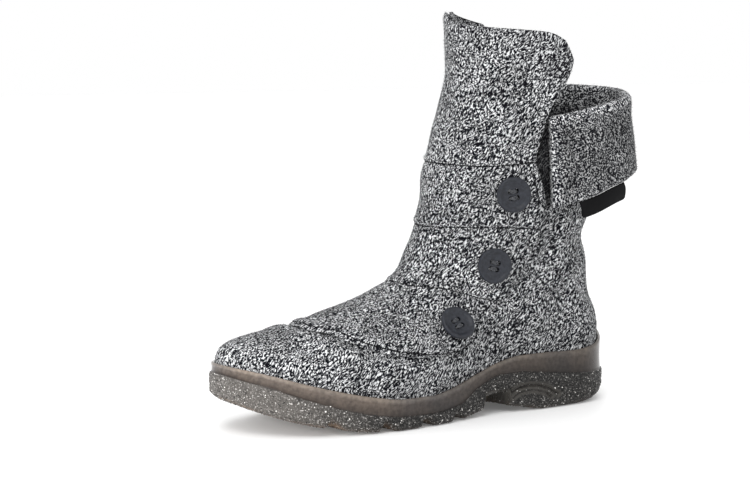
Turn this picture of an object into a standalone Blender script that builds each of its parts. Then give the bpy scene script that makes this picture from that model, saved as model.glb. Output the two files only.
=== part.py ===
"""Left snow boot: knitted wool upper with a buttoned front panel, a turned-down cuff and a moulded cup sole.

Metres, +Z up. The origin is on the floor under the middle of the heel. The toe points along -X, the outer
(lateral) side faces -Y, and "along" is the distance from the back of the heel towards the toe.
"""

import math

import bmesh
import bpy
import numpy as np
from mathutils import Matrix

# Driving sizes of the sole
SOLE_LENGTH = 0.266
HEEL_WIDTH = 0.0768
WAIST_WIDTH = 0.0765
BALL_WIDTH = 0.1035
TOE_ROUND_OUTER = 0.095
TOE_ROUND_INNER = 0.070
TOE_SHIFT = 0.007
HEEL_ROUND = 0.038
ORIGIN_FROM_HEEL = 0.038
LIP_HEIGHT = 0.044
TOE_SPRING = 0.022
ARCH_RISE = 0.0050
LIP_INSET = 0.0012
LIP_THICKNESS = 0.0020
LUG_DEPTH = 0.0030
LUG_WIDTH = 0.0075
CHANNEL_DEPTH = 0.0032
TREAD_ROUND = 0.0050
TREAD_ROUND_HEIGHT = 0.0040
GRIT_INSET = 0.0002
STEP_ROUND = 0.0010
LIP_ROUND = 0.0012

# Driving sizes of the upper
INSTEP_HEIGHT = 0.079
PANEL_HEIGHT = 0.245
SHAFT_WIDTH = 0.088
WALL = 0.0040
LINING_WALL = 0.0022
CUFF_DROP = 0.048
CUFF_SLACK = 0.0005
CUFF_FLARE = 0.09
PANEL_WALL = 0.0024
INSOLE_THICKNESS = 0.0035
BUTTON_DIAMETER = 0.0215
BUTTON_THICKNESS = 0.0032
LABEL_LENGTH = 0.044
LABEL_DROP = 0.011
LABEL_THICKNESS = 0.0010

# Fits
CLEARANCE = 0.0003
PANEL_GAP = 0.0010

# Mesh fineness
FRONT_COLUMNS = 12
BACK_COLUMNS = 15
SLIT_SHARE = 0.012
SEARCH_LEVELS = 200
SEARCH_TURNS = 101
SAMPLES_PER_LEVEL = 8

OUTER = 1
INNER = -1

# Sole outline: place along the sole, half width on the outer and on the inner side of the sole's axis.
# Each half width is a share of the named width beside it.
OUTLINE_ROWS = (
    # along, width, outer, inner
    (0.00, "heel", 0.502, 0.498),
    (0.14, "heel", 0.502, 0.497),
    (0.26, "heel", 0.518, 0.494),
    (0.34, "waist", 0.508, 0.478),
    (0.37, "waist", 0.518, 0.466),
    (0.425, "waist", 0.560, 0.442),
    (0.51, "ball", 0.486, 0.335),
    (0.57, "ball", 0.531, 0.369),
    (0.65, "ball", 0.556, 0.415),
    (0.71, "ball", 0.560, 0.436),
    (0.80, "ball", 0.560, 0.440),
    (1.00, "ball", 0.560, 0.440),
)
NAMED_WIDTHS = {"heel": HEEL_WIDTH, "waist": WAIST_WIDTH, "ball": BALL_WIDTH}
AXIS_BEND_START = 0.30
AXIS_BEND_END = 0.65

# Sole seen from the side. Spring is a share of TOE_SPRING and arch a share of ARCH_RISE, and both lift the
# tread. Step is the top of the gritty part, lip the top of the smooth band and floor the bottom of the cup,
# as shares of LIP_HEIGHT.
SIDE_ROWS = (
    # along, spring, arch, step, lip, floor
    (0.000, 0.30, 0.00, 0.42, 1.000, 0.47),
    (0.030, 0.04, 0.00, 0.43, 0.900, 0.46),
    (0.080, 0.00, 0.00, 0.44, 0.820, 0.45),
    (0.150, 0.00, 0.00, 0.47, 0.785, 0.44),
    (0.235, 0.00, 0.00, 0.53, 0.800, 0.44),
    (0.300, 0.00, 0.55, 0.57, 0.795, 0.44),
    (0.360, 0.00, 1.00, 0.56, 0.730, 0.43),
    (0.430, 0.00, 0.45, 0.42, 0.600, 0.35),
    (0.485, 0.00, 0.00, 0.24, 0.500, 0.27),
    (0.560, 0.00, 0.00, 0.19, 0.420, 0.22),
    (0.640, 0.00, 0.00, 0.20, 0.425, 0.22),
    (0.715, 0.04, 0.00, 0.26, 0.490, 0.26),
    (0.790, 0.16, 0.00, 0.37, 0.590, 0.34),
    (0.865, 0.35, 0.00, 0.52, 0.715, 0.44),
    (0.940, 0.64, 0.00, 0.69, 0.850, 0.56),
    (1.000, 1.00, 0.00, 0.81, 0.930, 0.68),
)
# Profile of the sole's side, from the tread up and over the lip to the cup's floor:
# inset from the outline, level it hangs on, and height above that level.
SOLE_PROFILE = (
    # inset, level, height above it
    (TREAD_ROUND, "ground", 0.0),
    (TREAD_ROUND * 0.3, "ground", TREAD_ROUND_HEIGHT * 0.3),
    (GRIT_INSET, "ground", TREAD_ROUND_HEIGHT),
    (GRIT_INSET, "step", -STEP_ROUND),
    (LIP_INSET, "step", 0.0),
    (LIP_INSET, "lip", -LIP_ROUND),
    (LIP_INSET + LIP_ROUND / 2, "lip", 0.0),
    (LIP_INSET + LIP_THICKNESS, "lip", 0.0),
    (LIP_INSET + LIP_THICKNESS, "floor", 0.0),
)

# Window groove in the tread, from its tip under the toes to its mouth in the outer side of the waist.
CHANNEL_ROWS = (
    # along, across (share of BALL_WIDTH, outer side positive), half width, depth as share of CHANNEL_DEPTH
    (0.842, -0.062, 0.0026, 1.0),
    (0.680, -0.020, 0.0033, 1.0),
    (0.515, 0.024, 0.0042, 1.0),
    (0.470, 0.078, 0.0062, 1.3),
    (0.420, 0.180, 0.0088, 1.8),
    (0.380, 0.295, 0.0104, 2.3),
    (0.362, 0.430, 0.0108, 2.7),
)

# Lug waves across the forefoot: where each groove meets the outer and the inner edge, shares of SOLE_LENGTH.
LUG_ROWS = (
    # outer end, inner end
    (0.797, 0.853),
    (0.684, 0.722),
    (0.579, 0.617),
    (0.486, 0.522),
)
LUG_WAVE = 0.030

# Section of a lug groove as shares of LUG_WIDTH from its line, and its depth at the sole's edge and in the
# middle as shares of LUG_DEPTH
LUG_TOOTH_BACK = 0.65
LUG_TOOTH_TIP = 0.20
LUG_TOOTH_FRONT = 0.45
LUG_EDGE_SHARE = 1.5
LUG_MIDDLE_SHARE = 0.7

# Upper: one row for each level from the feather line to the top. Front and back are places along the sole,
# as shares of SOLE_LENGTH. Heights above the lip are shares of what is left to INSTEP_HEIGHT, and above 1
# they go on as shares of the rest to PANEL_HEIGHT. Sag is how much a level follows the sole's lip. Swell
# widens the sole's outline, shaft is the share of the leg's own oval, half its half width as a share of
# SHAFT_WIDTH. Nose and tail are the lengths over which the plan rounds off at front and back, as shares of
# SOLE_LENGTH.
LEVEL_ROWS = (
    # front, front height, back, back height, sag, swell, shaft, half, nose outer, nose inner, tail
    (0.984, 0.11, 0.0155, 0.10, 0.95, 1.030, 0.00, 0.40, 0.357, 0.265, 0.132),
    (0.973, 0.23, 0.0170, 0.22, 0.85, 1.045, 0.00, 0.40, 0.370, 0.280, 0.132),
    (0.951, 0.34, 0.0200, 0.35, 0.70, 1.050, 0.03, 0.40, 0.410, 0.320, 0.134),
    (0.913, 0.43, 0.0235, 0.48, 0.50, 1.045, 0.08, 0.40, 0.490, 0.400, 0.136),
    (0.857, 0.49, 0.0280, 0.60, 0.33, 1.030, 0.15, 0.40, 0.590, 0.500, 0.138),
    (0.782, 0.53, 0.0335, 0.73, 0.20, 1.010, 0.24, 0.40, 0.650, 0.580, 0.140),
    (0.700, 0.635, 0.0400, 0.88, 0.10, 1.000, 0.36, 0.40, 0.600, 0.560, 0.142),
    (0.620, 0.785, 0.0450, 1.01, 0.04, 0.990, 0.50, 0.40, 0.440, 0.430, 0.144),
    (0.557, 1.00, 0.0490, 1.055, 0.00, 0.980, 0.66, 0.40, 0.330, 0.330, 0.148),
    (0.524, 1.05, 0.0515, 1.097, 0.00, 0.970, 0.80, 0.405, 0.285, 0.285, 0.152),
    (0.501, 1.10, 0.0525, 1.133, 0.00, 0.960, 0.91, 0.415, 0.260, 0.260, 0.158),
    (0.484, 1.16, 0.0500, 1.175, 0.00, 0.950, 1.00, 0.430, 0.247, 0.247, 0.168),
    (0.470, 1.235, 0.0380, 1.230, 0.00, 0.950, 1.00, 0.445, 0.238, 0.238, 0.180),
    (0.459, 1.31, 0.0250, 1.290, 0.00, 0.950, 1.00, 0.458, 0.233, 0.233, 0.188),
    (0.448, 1.39, 0.0070, 1.355, 0.00, 0.950, 1.00, 0.470, 0.230, 0.230, 0.195),
    (0.433, 1.475, -0.0120, 1.427, 0.00, 0.950, 1.00, 0.480, 0.229, 0.229, 0.200),
    (0.420, 1.56, -0.0310, 1.505, 0.00, 0.950, 1.00, 0.490, 0.228, 0.228, 0.204),
    (0.400, 1.65, -0.0480, 1.583, 0.00, 0.950, 1.00, 0.498, 0.226, 0.226, 0.206),
    (0.380, 1.76, -0.0660, 1.667, 0.00, 0.950, 1.00, 0.502, 0.224, 0.224, 0.208),
    (0.381, 1.88, -0.0780, 1.760, 0.00, 0.950, 1.00, 0.505, 0.222, 0.222, 0.208),
    (0.382, 2.00, -0.0880, 1.860, 0.00, 0.950, 1.00, 0.508, 0.222, 0.222, 0.208),
)
# Levels count from the feather line (0) over the lip (1) to the rows above (2, 3 and so on)
FIRST_ROW_LEVEL = 2
SLIT_LEVEL = 17
SLIT_PLACE = 0.405

# Fold line of the cuff: height as a share of PANEL_HEIGHT, round from the outer slit over the back
# to the inner slit
FOLD_ROWS = (
    # place round, height
    (0.00, 0.718),
    (0.22, 0.752),
    (0.50, 0.782),
    (0.75, 0.790),
    (1.00, 0.745),
)

# Top edge of the front panel, round from the inner edge over the shin to the outer edge
TOP_ROWS = (
    # place round (-1 inner, 1 outer), height as a share of PANEL_HEIGHT
    (-1.00, 0.900),
    (-0.92, 0.962),
    (-0.75, 0.990),
    (-0.45, 1.000),
    (-0.22, 0.988),
    (0.00, 0.966),
    (0.40, 0.956),
    (0.80, 0.946),
    (0.93, 0.926),
    (1.00, 0.878),
)
PANEL_LEAN = 0.13
PANEL_LEAN_START = 0.45

# Where the upper's wall thins under the front panel: first level, levels it takes, and how far out from the
# ridge it stays thin, as a share of the way to the slit
THIN_WALL_START = 9
THIN_WALL_LEVELS = 5
THIN_WALL_REACH = 0.8

# Lower edge of the front panel, from the ridge of the vamp (place 0) down to the corner of the free flap
# (place 1), and the free flap's edge from there up to the slit. Along is a share of SOLE_LENGTH, height of
# INSTEP_HEIGHT.
SEAM_ROWS = (
    # place, along, height
    (0.00, 0.793, 0.800),
    (0.45, 0.767, 0.703),
    (0.60, 0.710, 0.600),
    (0.75, 0.647, 0.548),
    (0.88, 0.568, 0.522),
    (1.00, 0.485, 0.545),
)
FLAP_ROWS = (
    # place, along, height
    (0.00, 0.485, 0.545),
    (0.16, 0.425, 0.640),
    (0.36, 0.354, 0.860),
    (0.50, 0.316, 1.030),
    (0.72, 0.266, 1.340),
    (0.88, 0.249, 1.610),
)
PANEL_LOW_ROWS = 9
PANEL_HIGH_ROWS = 4
STRIP_ROWS = 4
DROP_ROWS = (
    # place from the slit to the heel, drop of the cuff as a share of CUFF_DROP
    (0.00, 1.065),
    (0.20, 1.035),
    (0.40, 0.970),
    (0.60, 0.955),
    (1.00, 0.955),
)
CUFF_WALL_ROWS = 3
CUFF_FOLD_ROWS = 4
CUFF_DROP_ROWS = 3

BUTTON_ROWS = (
    # name, along, height as shares of SOLE_LENGTH and PANEL_HEIGHT
    ("button_top", 0.328, 0.547),
    ("button_middle", 0.370, 0.372),
    ("button_bottom", 0.486, 0.229),
)


def smooth(rows, place, column):
    """Value of one column at a place, by a curve through the rows that never overshoots them."""
    x = np.array([row[0] for row in rows])
    y = np.array([row[column] for row in rows])
    slope = np.diff(y) / np.diff(x)
    tangent = np.zeros_like(y)
    same_way = slope[:-1] * slope[1:] > 0
    pair = np.where(same_way, slope[:-1] + slope[1:], 1.0)
    tangent[1:-1] = np.where(same_way, 2 * slope[:-1] * slope[1:] / pair, 0.0)
    tangent[0] = slope[0]
    tangent[-1] = slope[-1]
    at = np.clip(np.asarray(place, dtype=float), x[0], x[-1])
    i = np.clip(np.searchsorted(x, at, side="right") - 1, 0, len(x) - 2)
    step = x[i + 1] - x[i]
    t = (at - x[i]) / step
    low = y[i] * (1 + 2 * t) * (1 - t) ** 2 + tangent[i] * step * t * (1 - t) ** 2
    high = y[i + 1] * t * t * (3 - 2 * t) + tangent[i + 1] * step * t * t * (t - 1)
    return low + high


def ease(x):
    """Smooth step from 0 to 1."""
    x = np.clip(x, 0.0, 1.0)
    return x * x * (3 - 2 * x)


def rounded(x):
    """Quarter ellipse: 0 at x = 0, 1 from x = 1 on."""
    x = np.clip(x, 0.0, 1.0)
    return np.sqrt(1 - (1 - x) ** 2)


def axis_shift(along):
    """How far the sole's axis lies towards the inner side at a place along it."""
    share = along / SOLE_LENGTH
    return TOE_SHIFT * ease((share - AXIS_BEND_START) / (AXIS_BEND_END - AXIS_BEND_START))


HALF_ROWS = tuple(
    (place, NAMED_WIDTHS[width] * outer, NAMED_WIDTHS[width] * inner)
    for place, width, outer, inner in OUTLINE_ROWS
)


def body_half(along, side):
    """Half width of the sole before its ends are rounded."""
    share = along / SOLE_LENGTH
    return np.where(side == OUTER, smooth(HALF_ROWS, share, 1), smooth(HALF_ROWS, share, 2))


def outline(turn, inset):
    """Plan point (along, across) of the sole at turn 0 (toe) to 1 (heel); turn below 0 is the inner side.
    Across is positive towards the outer side."""
    def raw(t):
        t = (np.asarray(t, dtype=float) + 1) % 2 - 1
        side = np.where(t >= 0, OUTER, INNER)
        along = SOLE_LENGTH * (1 + np.cos(math.pi * t)) / 2
        nose = np.where(side == OUTER, TOE_ROUND_OUTER, TOE_ROUND_INNER)
        half = body_half(along, side) * rounded((SOLE_LENGTH - along) / nose) * rounded(along / HEEL_ROUND)
        return np.stack([along, side * half - axis_shift(along)], -1)

    step = 0.004
    tangent = raw(turn + step) - raw(turn - step)
    tangent /= np.linalg.norm(tangent, axis=-1, keepdims=True)
    inward = np.stack([-tangent[..., 1], tangent[..., 0]], -1)
    return raw(turn) + inward * inset


def side_height(along, name):
    """Height of the tread, the step, the lip or the cup's floor at a place along the sole."""
    share = along / SOLE_LENGTH
    if name == "ground":
        return TOE_SPRING * smooth(SIDE_ROWS, share, 1) + ARCH_RISE * smooth(SIDE_ROWS, share, 2)
    column = {"step": 3, "lip": 4, "floor": 5}[name]
    return LIP_HEIGHT * smooth(SIDE_ROWS, share, column)


def world(along, across, height):
    """Row frame point from a place along the sole, across it (outer side positive) and a height."""
    return np.stack([ORIGIN_FROM_HEEL - along, -across, height], -1)


UPPER_INSET = LIP_INSET + LIP_THICKNESS + CLEARANCE
UPPER_OVER_LIP = 0.0010
LEVEL_COUNT = FIRST_ROW_LEVEL + len(LEVEL_ROWS)


def row_height(share, lip):
    """Height of a level from its share, counted from the lip to the instep and on to the panel's top."""
    if share <= 1:
        return lip + share * (INSTEP_HEIGHT - lip)
    return INSTEP_HEIGHT + (share - 1) * (PANEL_HEIGHT - INSTEP_HEIGHT)


def level_curve(level, turn):
    """One level of the upper's outer form, as places along and across the sole and heights."""
    turn = (np.asarray(turn, dtype=float) + 1) % 2 - 1
    side = np.where(turn >= 0, OUTER, INNER)
    if level < FIRST_ROW_LEVEL:
        plan = outline(turn, UPPER_INSET)
        if level == 0:
            height = side_height(plan[..., 0], "floor") + CLEARANCE
        else:
            height = side_height(plan[..., 0], "lip") + UPPER_OVER_LIP
        return np.stack([plan[..., 0], plan[..., 1], height], -1)
    row = LEVEL_ROWS[level - FIRST_ROW_LEVEL]
    front, front_share, back, back_share, sag, swell, shaft, half, nose_outer, nose_inner, tail = row
    toe_lip = float(side_height(SOLE_LENGTH, "lip"))
    heel_lip = float(side_height(0.0, "lip"))
    front_height = row_height(front_share, toe_lip)
    back_height = row_height(back_share, heel_lip)
    front_along = front * SOLE_LENGTH
    back_along = back * SOLE_LENGTH
    way = (1 + np.cos(math.pi * turn)) / 2
    along = back_along + (front_along - back_along) * way
    nose = np.where(side == OUTER, nose_outer, nose_inner) * SOLE_LENGTH
    ends = rounded((front_along - along) / nose) * rounded((along - back_along) / (tail * SOLE_LENGTH))
    foot = (body_half(along, side) - UPPER_INSET) * swell
    width = (foot * (1 - shaft) + half * SHAFT_WIDTH * shaft) * ends
    across = side * width - axis_shift(along) * (1 - shaft)
    lip_line = heel_lip + (toe_lip - heel_lip) * along / SOLE_LENGTH
    dip = side_height(along, "lip") - lip_line
    height = back_height + (front_height - back_height) * way + sag * dip
    return np.stack([along, across, height], -1)


def form(level, turn):
    """Point of the upper's outer form at any level and turn, in row coordinates."""
    level, turn = np.broadcast_arrays(np.asarray(level, dtype=float), np.asarray(turn, dtype=float))
    low = np.clip(np.floor(level).astype(int), 0, LEVEL_COUNT - 2)
    t = (level - low)[..., None]
    first = max(int(low.min()) - 1, 0)
    last = min(int(low.max()) + 2, LEVEL_COUNT - 1)
    curves = np.stack([level_curve(i, turn) for i in range(first, last + 1)])

    def pick(index):
        index = np.clip(index, 0, LEVEL_COUNT - 1) - first
        return np.take_along_axis(curves, index[None, ..., None], 0)[0]

    before, start, end, after = pick(low - 1), pick(low), pick(low + 1), pick(low + 2)
    curve = 0.5 * (2 * start + (end - before) * t + (2 * before - 5 * start + 4 * end - after) * t ** 2
                   + (3 * start - before - 3 * end + after) * t ** 3)
    point = np.where((low == 0)[..., None], start + (end - start) * t, curve)
    return world(point[..., 0], point[..., 1], point[..., 2])


def outward(level, turn):
    """Unit normal of the upper's outer form."""
    small_level = 0.05
    small_turn = 0.004
    above = np.minimum(level + small_level, LEVEL_COUNT - 1)
    below = np.maximum(level - small_level, 0)
    up = form(above, turn) - form(below, turn)
    round_ = form(level, turn + small_turn) - form(level, turn - small_turn)
    normal = np.cross(round_, up)
    return normal / np.linalg.norm(normal, axis=-1, keepdims=True)


def flat_outward(level, turn):
    """Unit normal of the outer form laid level."""
    normal = outward(level, turn) * np.array([1.0, 1.0, 0.0])
    return normal / np.linalg.norm(normal, axis=-1, keepdims=True)


def level_at(height, turn):
    """Level at which the outer form reaches a height at one turn."""
    samples = SAMPLES_PER_LEVEL * (LEVEL_COUNT - 1 - FIRST_ROW_LEVEL) + 1
    levels = np.linspace(FIRST_ROW_LEVEL, LEVEL_COUNT - 1, samples)
    heights = form(levels, np.full(len(levels), turn))[:, 2]
    return float(np.interp(height, heights, levels))


def locate(along, height, side):
    """Level and turn of the point of the outer form that lies at a place along the sole and a height."""
    levels = np.linspace(1, LEVEL_COUNT - 1, SEARCH_LEVELS)
    turns = np.linspace(0.0, 1.0, SEARCH_TURNS)
    grid = form(levels[:, None], side * turns[None, :])
    found_turn = np.array([np.interp(ORIGIN_FROM_HEEL - along, row[:, 0], turns) for row in grid])
    found_height = np.array([np.interp(t, turns, row[:, 2]) for t, row in zip(found_turn, grid)])
    level = float(np.interp(height, found_height, levels))
    turn = float(np.interp(level, levels, found_turn))
    return level, side * turn


def material(name, colour, roughness, metallic=0.0):
    """Plain material of one sub-part."""
    made = bpy.data.materials.new(name)
    made.use_nodes = True
    shader = made.node_tree.nodes["Principled BSDF"]
    shader.inputs["Base Color"].default_value = (*colour, 1.0)
    shader.inputs["Roughness"].default_value = roughness
    shader.inputs["Metallic"].default_value = metallic
    return made


def add_object(name, points, faces, finish, smooth_angle=50):
    """Closed solid from its points and faces, with its faces turned out."""
    mesh = bpy.data.meshes.new(name)
    mesh.from_pydata([tuple(float(c) for c in p) for p in points], [], faces)
    work = bmesh.new()
    work.from_mesh(mesh)
    bmesh.ops.recalc_face_normals(work, faces=work.faces)
    work.to_mesh(mesh)
    work.free()
    mesh.materials.append(finish)
    mesh.shade_smooth()
    mesh.set_sharp_from_angle(angle=math.radians(smooth_angle))
    made = bpy.data.objects.new(name, mesh)
    bpy.context.scene.collection.objects.link(made)
    return made


def ring_solid(name, rings, finish, bottom, top, across):
    """Solid of closed rings stacked from its lower face to its upper one. Each ring starts at the toe and
    goes round by the outer side. Bottom and top give a face's height at a place along the sole."""
    count = len(rings[0])
    points = [p for ring in rings for p in ring]
    faces = []
    for r in range(len(rings) - 1):
        for i in range(count):
            j = (i + 1) % count
            faces.append((r * count + i, r * count + j, (r + 1) * count + j, (r + 1) * count + i))

    def cap(ring_index, height):
        base = ring_index * count
        lines = [[base]]
        for i in range(1, count // 2):
            start, end = rings[ring_index][i], rings[ring_index][count - i]
            line = [base + i]
            for k in range(1, across):
                point = start + (end - start) * k / across
                point[2] = height(ORIGIN_FROM_HEEL - point[0])
                line.append(len(points))
                points.append(point)
            line.append(base + count - i)
            lines.append(line)
        lines.append([base + count // 2])
        for line, after in zip(lines[:-1], lines[1:]):
            if len(line) == 1:
                faces.extend((line[0], after[k], after[k + 1]) for k in range(across))
            elif len(after) == 1:
                faces.extend((line[k], after[0], line[k + 1]) for k in range(across))
            else:
                faces.extend((line[k], after[k], after[k + 1], line[k + 1]) for k in range(across))

    cap(0, bottom)
    cap(len(rings) - 1, top)
    return add_object(name, points, faces, finish)


def column_turns():
    """Turn of each column of points: 0 on the ridge, positive on the outer side, up to 1 at the back.
    Sole, insole and upper share them, so that their facets lie side by side."""
    front = [SLIT_PLACE * i / FRONT_COLUMNS for i in range(FRONT_COLUMNS + 1)]
    start = SLIT_PLACE + SLIT_SHARE
    back = [start + (1 - start) * i / BACK_COLUMNS for i in range(BACK_COLUMNS + 1)]
    half = front + back
    return {**{i: t for i, t in enumerate(half)}, **{-i: -t for i, t in enumerate(half[:-1])}}


TURNS = column_turns()
LAST_COLUMN = FRONT_COLUMNS + 1 + BACK_COLUMNS
RING_COLUMNS = [*range(LAST_COLUMN + 1), *range(-LAST_COLUMN + 1, 0)]
RING_TURNS = np.array([TURNS[i] for i in RING_COLUMNS])


def outline_ring(inset, height):
    """Closed ring on the sole's outline, at a height that may change along it."""
    plan = outline(RING_TURNS, inset)
    return world(plan[:, 0], plan[:, 1], height(plan[:, 0]))


def cutter(name, sections):
    """Closed bar through a row of sections, to be cut out of a solid."""
    size = len(sections[0])
    points = [p for section in sections for p in section]
    faces = [tuple(range(size)), tuple(range(len(points) - size, len(points)))]
    for r in range(len(sections) - 1):
        for i in range(size):
            j = (i + 1) % size
            faces.append((r * size + i, r * size + j, (r + 1) * size + j, (r + 1) * size + i))
    made = add_object(name, points, faces, material(name, (0.5, 0.5, 0.5), 0.5))
    made.hide_render = True
    made.display_type = "WIRE"
    return made


def cut(target, tool):
    """Takes a cutter out of a solid."""
    step = target.modifiers.new(tool.name, "BOOLEAN")
    step.operation = "DIFFERENCE"
    step.object = tool


CUT_MARGIN = 0.002
CHANNEL_STATIONS = 22
LUG_STATIONS = 12


def channel_cutter():
    """Rounded bar that leaves the window groove in the tread."""
    first, last = CHANNEL_ROWS[-1][0], CHANNEL_ROWS[0][0]
    rows = tuple(sorted(CHANNEL_ROWS))
    place = np.linspace(last, first, CHANNEL_STATIONS)
    along = place * SOLE_LENGTH
    across = smooth(rows, place, 1) * BALL_WIDTH
    half = smooth(rows, place, 2)
    depth = smooth(rows, place, 3) * CHANNEL_DEPTH
    path = np.stack([along, across], -1)
    way = np.gradient(path, axis=0)
    way /= np.linalg.norm(way, axis=-1, keepdims=True)
    path[-1] += way[-1] * CUT_MARGIN * 3
    side = np.stack([-way[:, 1], way[:, 0]], -1)
    sections = []
    for i in range(CHANNEL_STATIONS):
        ground = float(side_height(along[i], "ground"))
        section = []
        for share, lift in ((-1.0, 0.0), (-0.85, 0.6), (-0.4, 1.0), (0.4, 1.0), (0.85, 0.6), (1.0, 0.0)):
            plan = path[i] + side[i] * half[i] * share
            section.append(world(plan[0], plan[1], ground + depth[i] * lift))
        for share in (1.0, -1.0):
            plan = path[i] + side[i] * half[i] * share
            section.append(world(plan[0], plan[1], ground - CUT_MARGIN))
        sections.append(section)
    return cutter("cut_channel", sections)


def lug_cutter(index, outer_end, inner_end):
    """Saw-tooth bar that leaves one groove between two lug waves."""
    sections = []
    for k in range(LUG_STATIONS + 1):
        t = k / LUG_STATIONS
        share = outer_end + (inner_end - outer_end) * t
        along = (share + LUG_WAVE * math.sin(math.pi * t) ** 2) * SOLE_LENGTH
        outer_half = float(body_half(along, OUTER)) + CUT_MARGIN * 2
        inner_half = float(body_half(along, INNER)) + CUT_MARGIN * 2
        across = outer_half + (-inner_half - outer_half) * t - float(axis_shift(along))
        ground = float(side_height(along, "ground"))
        depth = LUG_DEPTH * (LUG_EDGE_SHARE + (LUG_MIDDLE_SHARE - LUG_EDGE_SHARE) * math.sin(math.pi * t))
        sections.append([
            world(along - LUG_WIDTH * LUG_TOOTH_BACK, across, ground - CUT_MARGIN),
            world(along + LUG_WIDTH * LUG_TOOTH_TIP, across, ground + depth),
            world(along + LUG_WIDTH * LUG_TOOTH_FRONT, across, ground - CUT_MARGIN),
        ])
    return cutter(f"cut_lug_{index}", sections)


def build_sole():
    """Moulded cup sole: gritty tread and foot, a step, a smooth band and the lip round the upper."""
    rings = []
    for inset, level, over in SOLE_PROFILE:
        rings.append(outline_ring(inset, lambda along: side_height(along, level) + over))
    sole = ring_solid(
        "outsole", rings, material("clear_rubber", (0.27, 0.24, 0.20), 0.45),
        lambda along: float(side_height(along, "ground")),
        lambda along: float(side_height(along, "floor")), 6)
    cut(sole, channel_cutter())
    for index, (outer_end, inner_end) in enumerate(LUG_ROWS, start=1):
        cut(sole, lug_cutter(index, outer_end, inner_end))


INSOLE_INSET = UPPER_INSET + WALL + CLEARANCE


def build_insole():
    """Footbed board on the floor of the cup, inside the upper."""
    def lower(along):
        return side_height(along, "floor") + CLEARANCE

    def upper(along):
        return side_height(along, "floor") + CLEARANCE + INSOLE_THICKNESS

    rings = [outline_ring(INSOLE_INSET, lower), outline_ring(INSOLE_INSET, upper)]
    ring_solid("insole", rings, material("insole_felt", (0.16, 0.16, 0.17), 0.95),
               lambda along: float(lower(along)), lambda along: float(upper(along)), 2)


class Shell:
    """Wall between two skins of points. A cell is a square of four point keys."""

    def __init__(self):
        self.outer = {}
        self.inner = {}
        self.cells = []

    def put(self, key, outer, inner):
        self.outer[key] = outer
        self.inner[key] = inner

    def cell(self, *keys):
        self.cells.append(keys)

    def solid(self, name, finish):
        keys = list(self.outer)
        number = {key: i for i, key in enumerate(keys)}
        shift = len(keys)
        points = [self.outer[key] for key in keys] + [self.inner[key] for key in keys]
        faces = []
        edges = {}
        for cell in self.cells:
            ids = [number[key] for key in cell]
            faces.append(tuple(ids))
            faces.append(tuple(i + shift for i in reversed(ids)))
            for start, end in zip(ids, ids[1:] + ids[:1]):
                if (end, start) in edges:
                    del edges[(end, start)]
                else:
                    edges[(start, end)] = True
        for start, end in edges:
            faces.append((end, start, start + shift, end + shift))
        return add_object(name, points, faces, finish)


def wall_at(level, turn):
    """Thickness of the upper's wall: thinner where the front panel lies over it."""
    above = ease((level - THIN_WALL_START) / THIN_WALL_LEVELS)
    aside = ease((abs(turn) - SLIT_PLACE * THIN_WALL_REACH) / (SLIT_PLACE * (1 - THIN_WALL_REACH)))
    return WALL + (LINING_WALL - WALL) * above * (1 - aside)


def strip_spot(row, turn):
    """Level and turn of a spot on the tall front, at a share of the way from the slit's foot to the top."""
    begun = ease((row - PANEL_LEAN_START) / (1 - PANEL_LEAN_START))
    leaned = turn * (1 + PANEL_LEAN * begun * abs(turn) / SLIT_PLACE)
    foot = form(float(SLIT_LEVEL), leaned)[2]
    top = float(smooth(TOP_ROWS, turn / SLIT_PLACE, 1)) * PANEL_HEIGHT
    return level_at(foot + (top - foot) * row, leaned), leaned


def fold_height(turn):
    """Height of the cuff's fold at one turn behind the slits."""
    start = SLIT_PLACE + SLIT_SHARE
    forward = (abs(turn) - start) / (1 - start) / 2
    place = forward if turn > 0 else 1 - forward
    return float(smooth(FOLD_ROWS, place, 1)) * PANEL_HEIGHT


def cuff_drop(turn):
    """How far the cuff hangs below its fold at one turn behind the slits."""
    start = SLIT_PLACE + SLIT_SHARE
    return float(smooth(DROP_ROWS, (abs(turn) - start) / (1 - start), 1)) * CUFF_DROP


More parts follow.
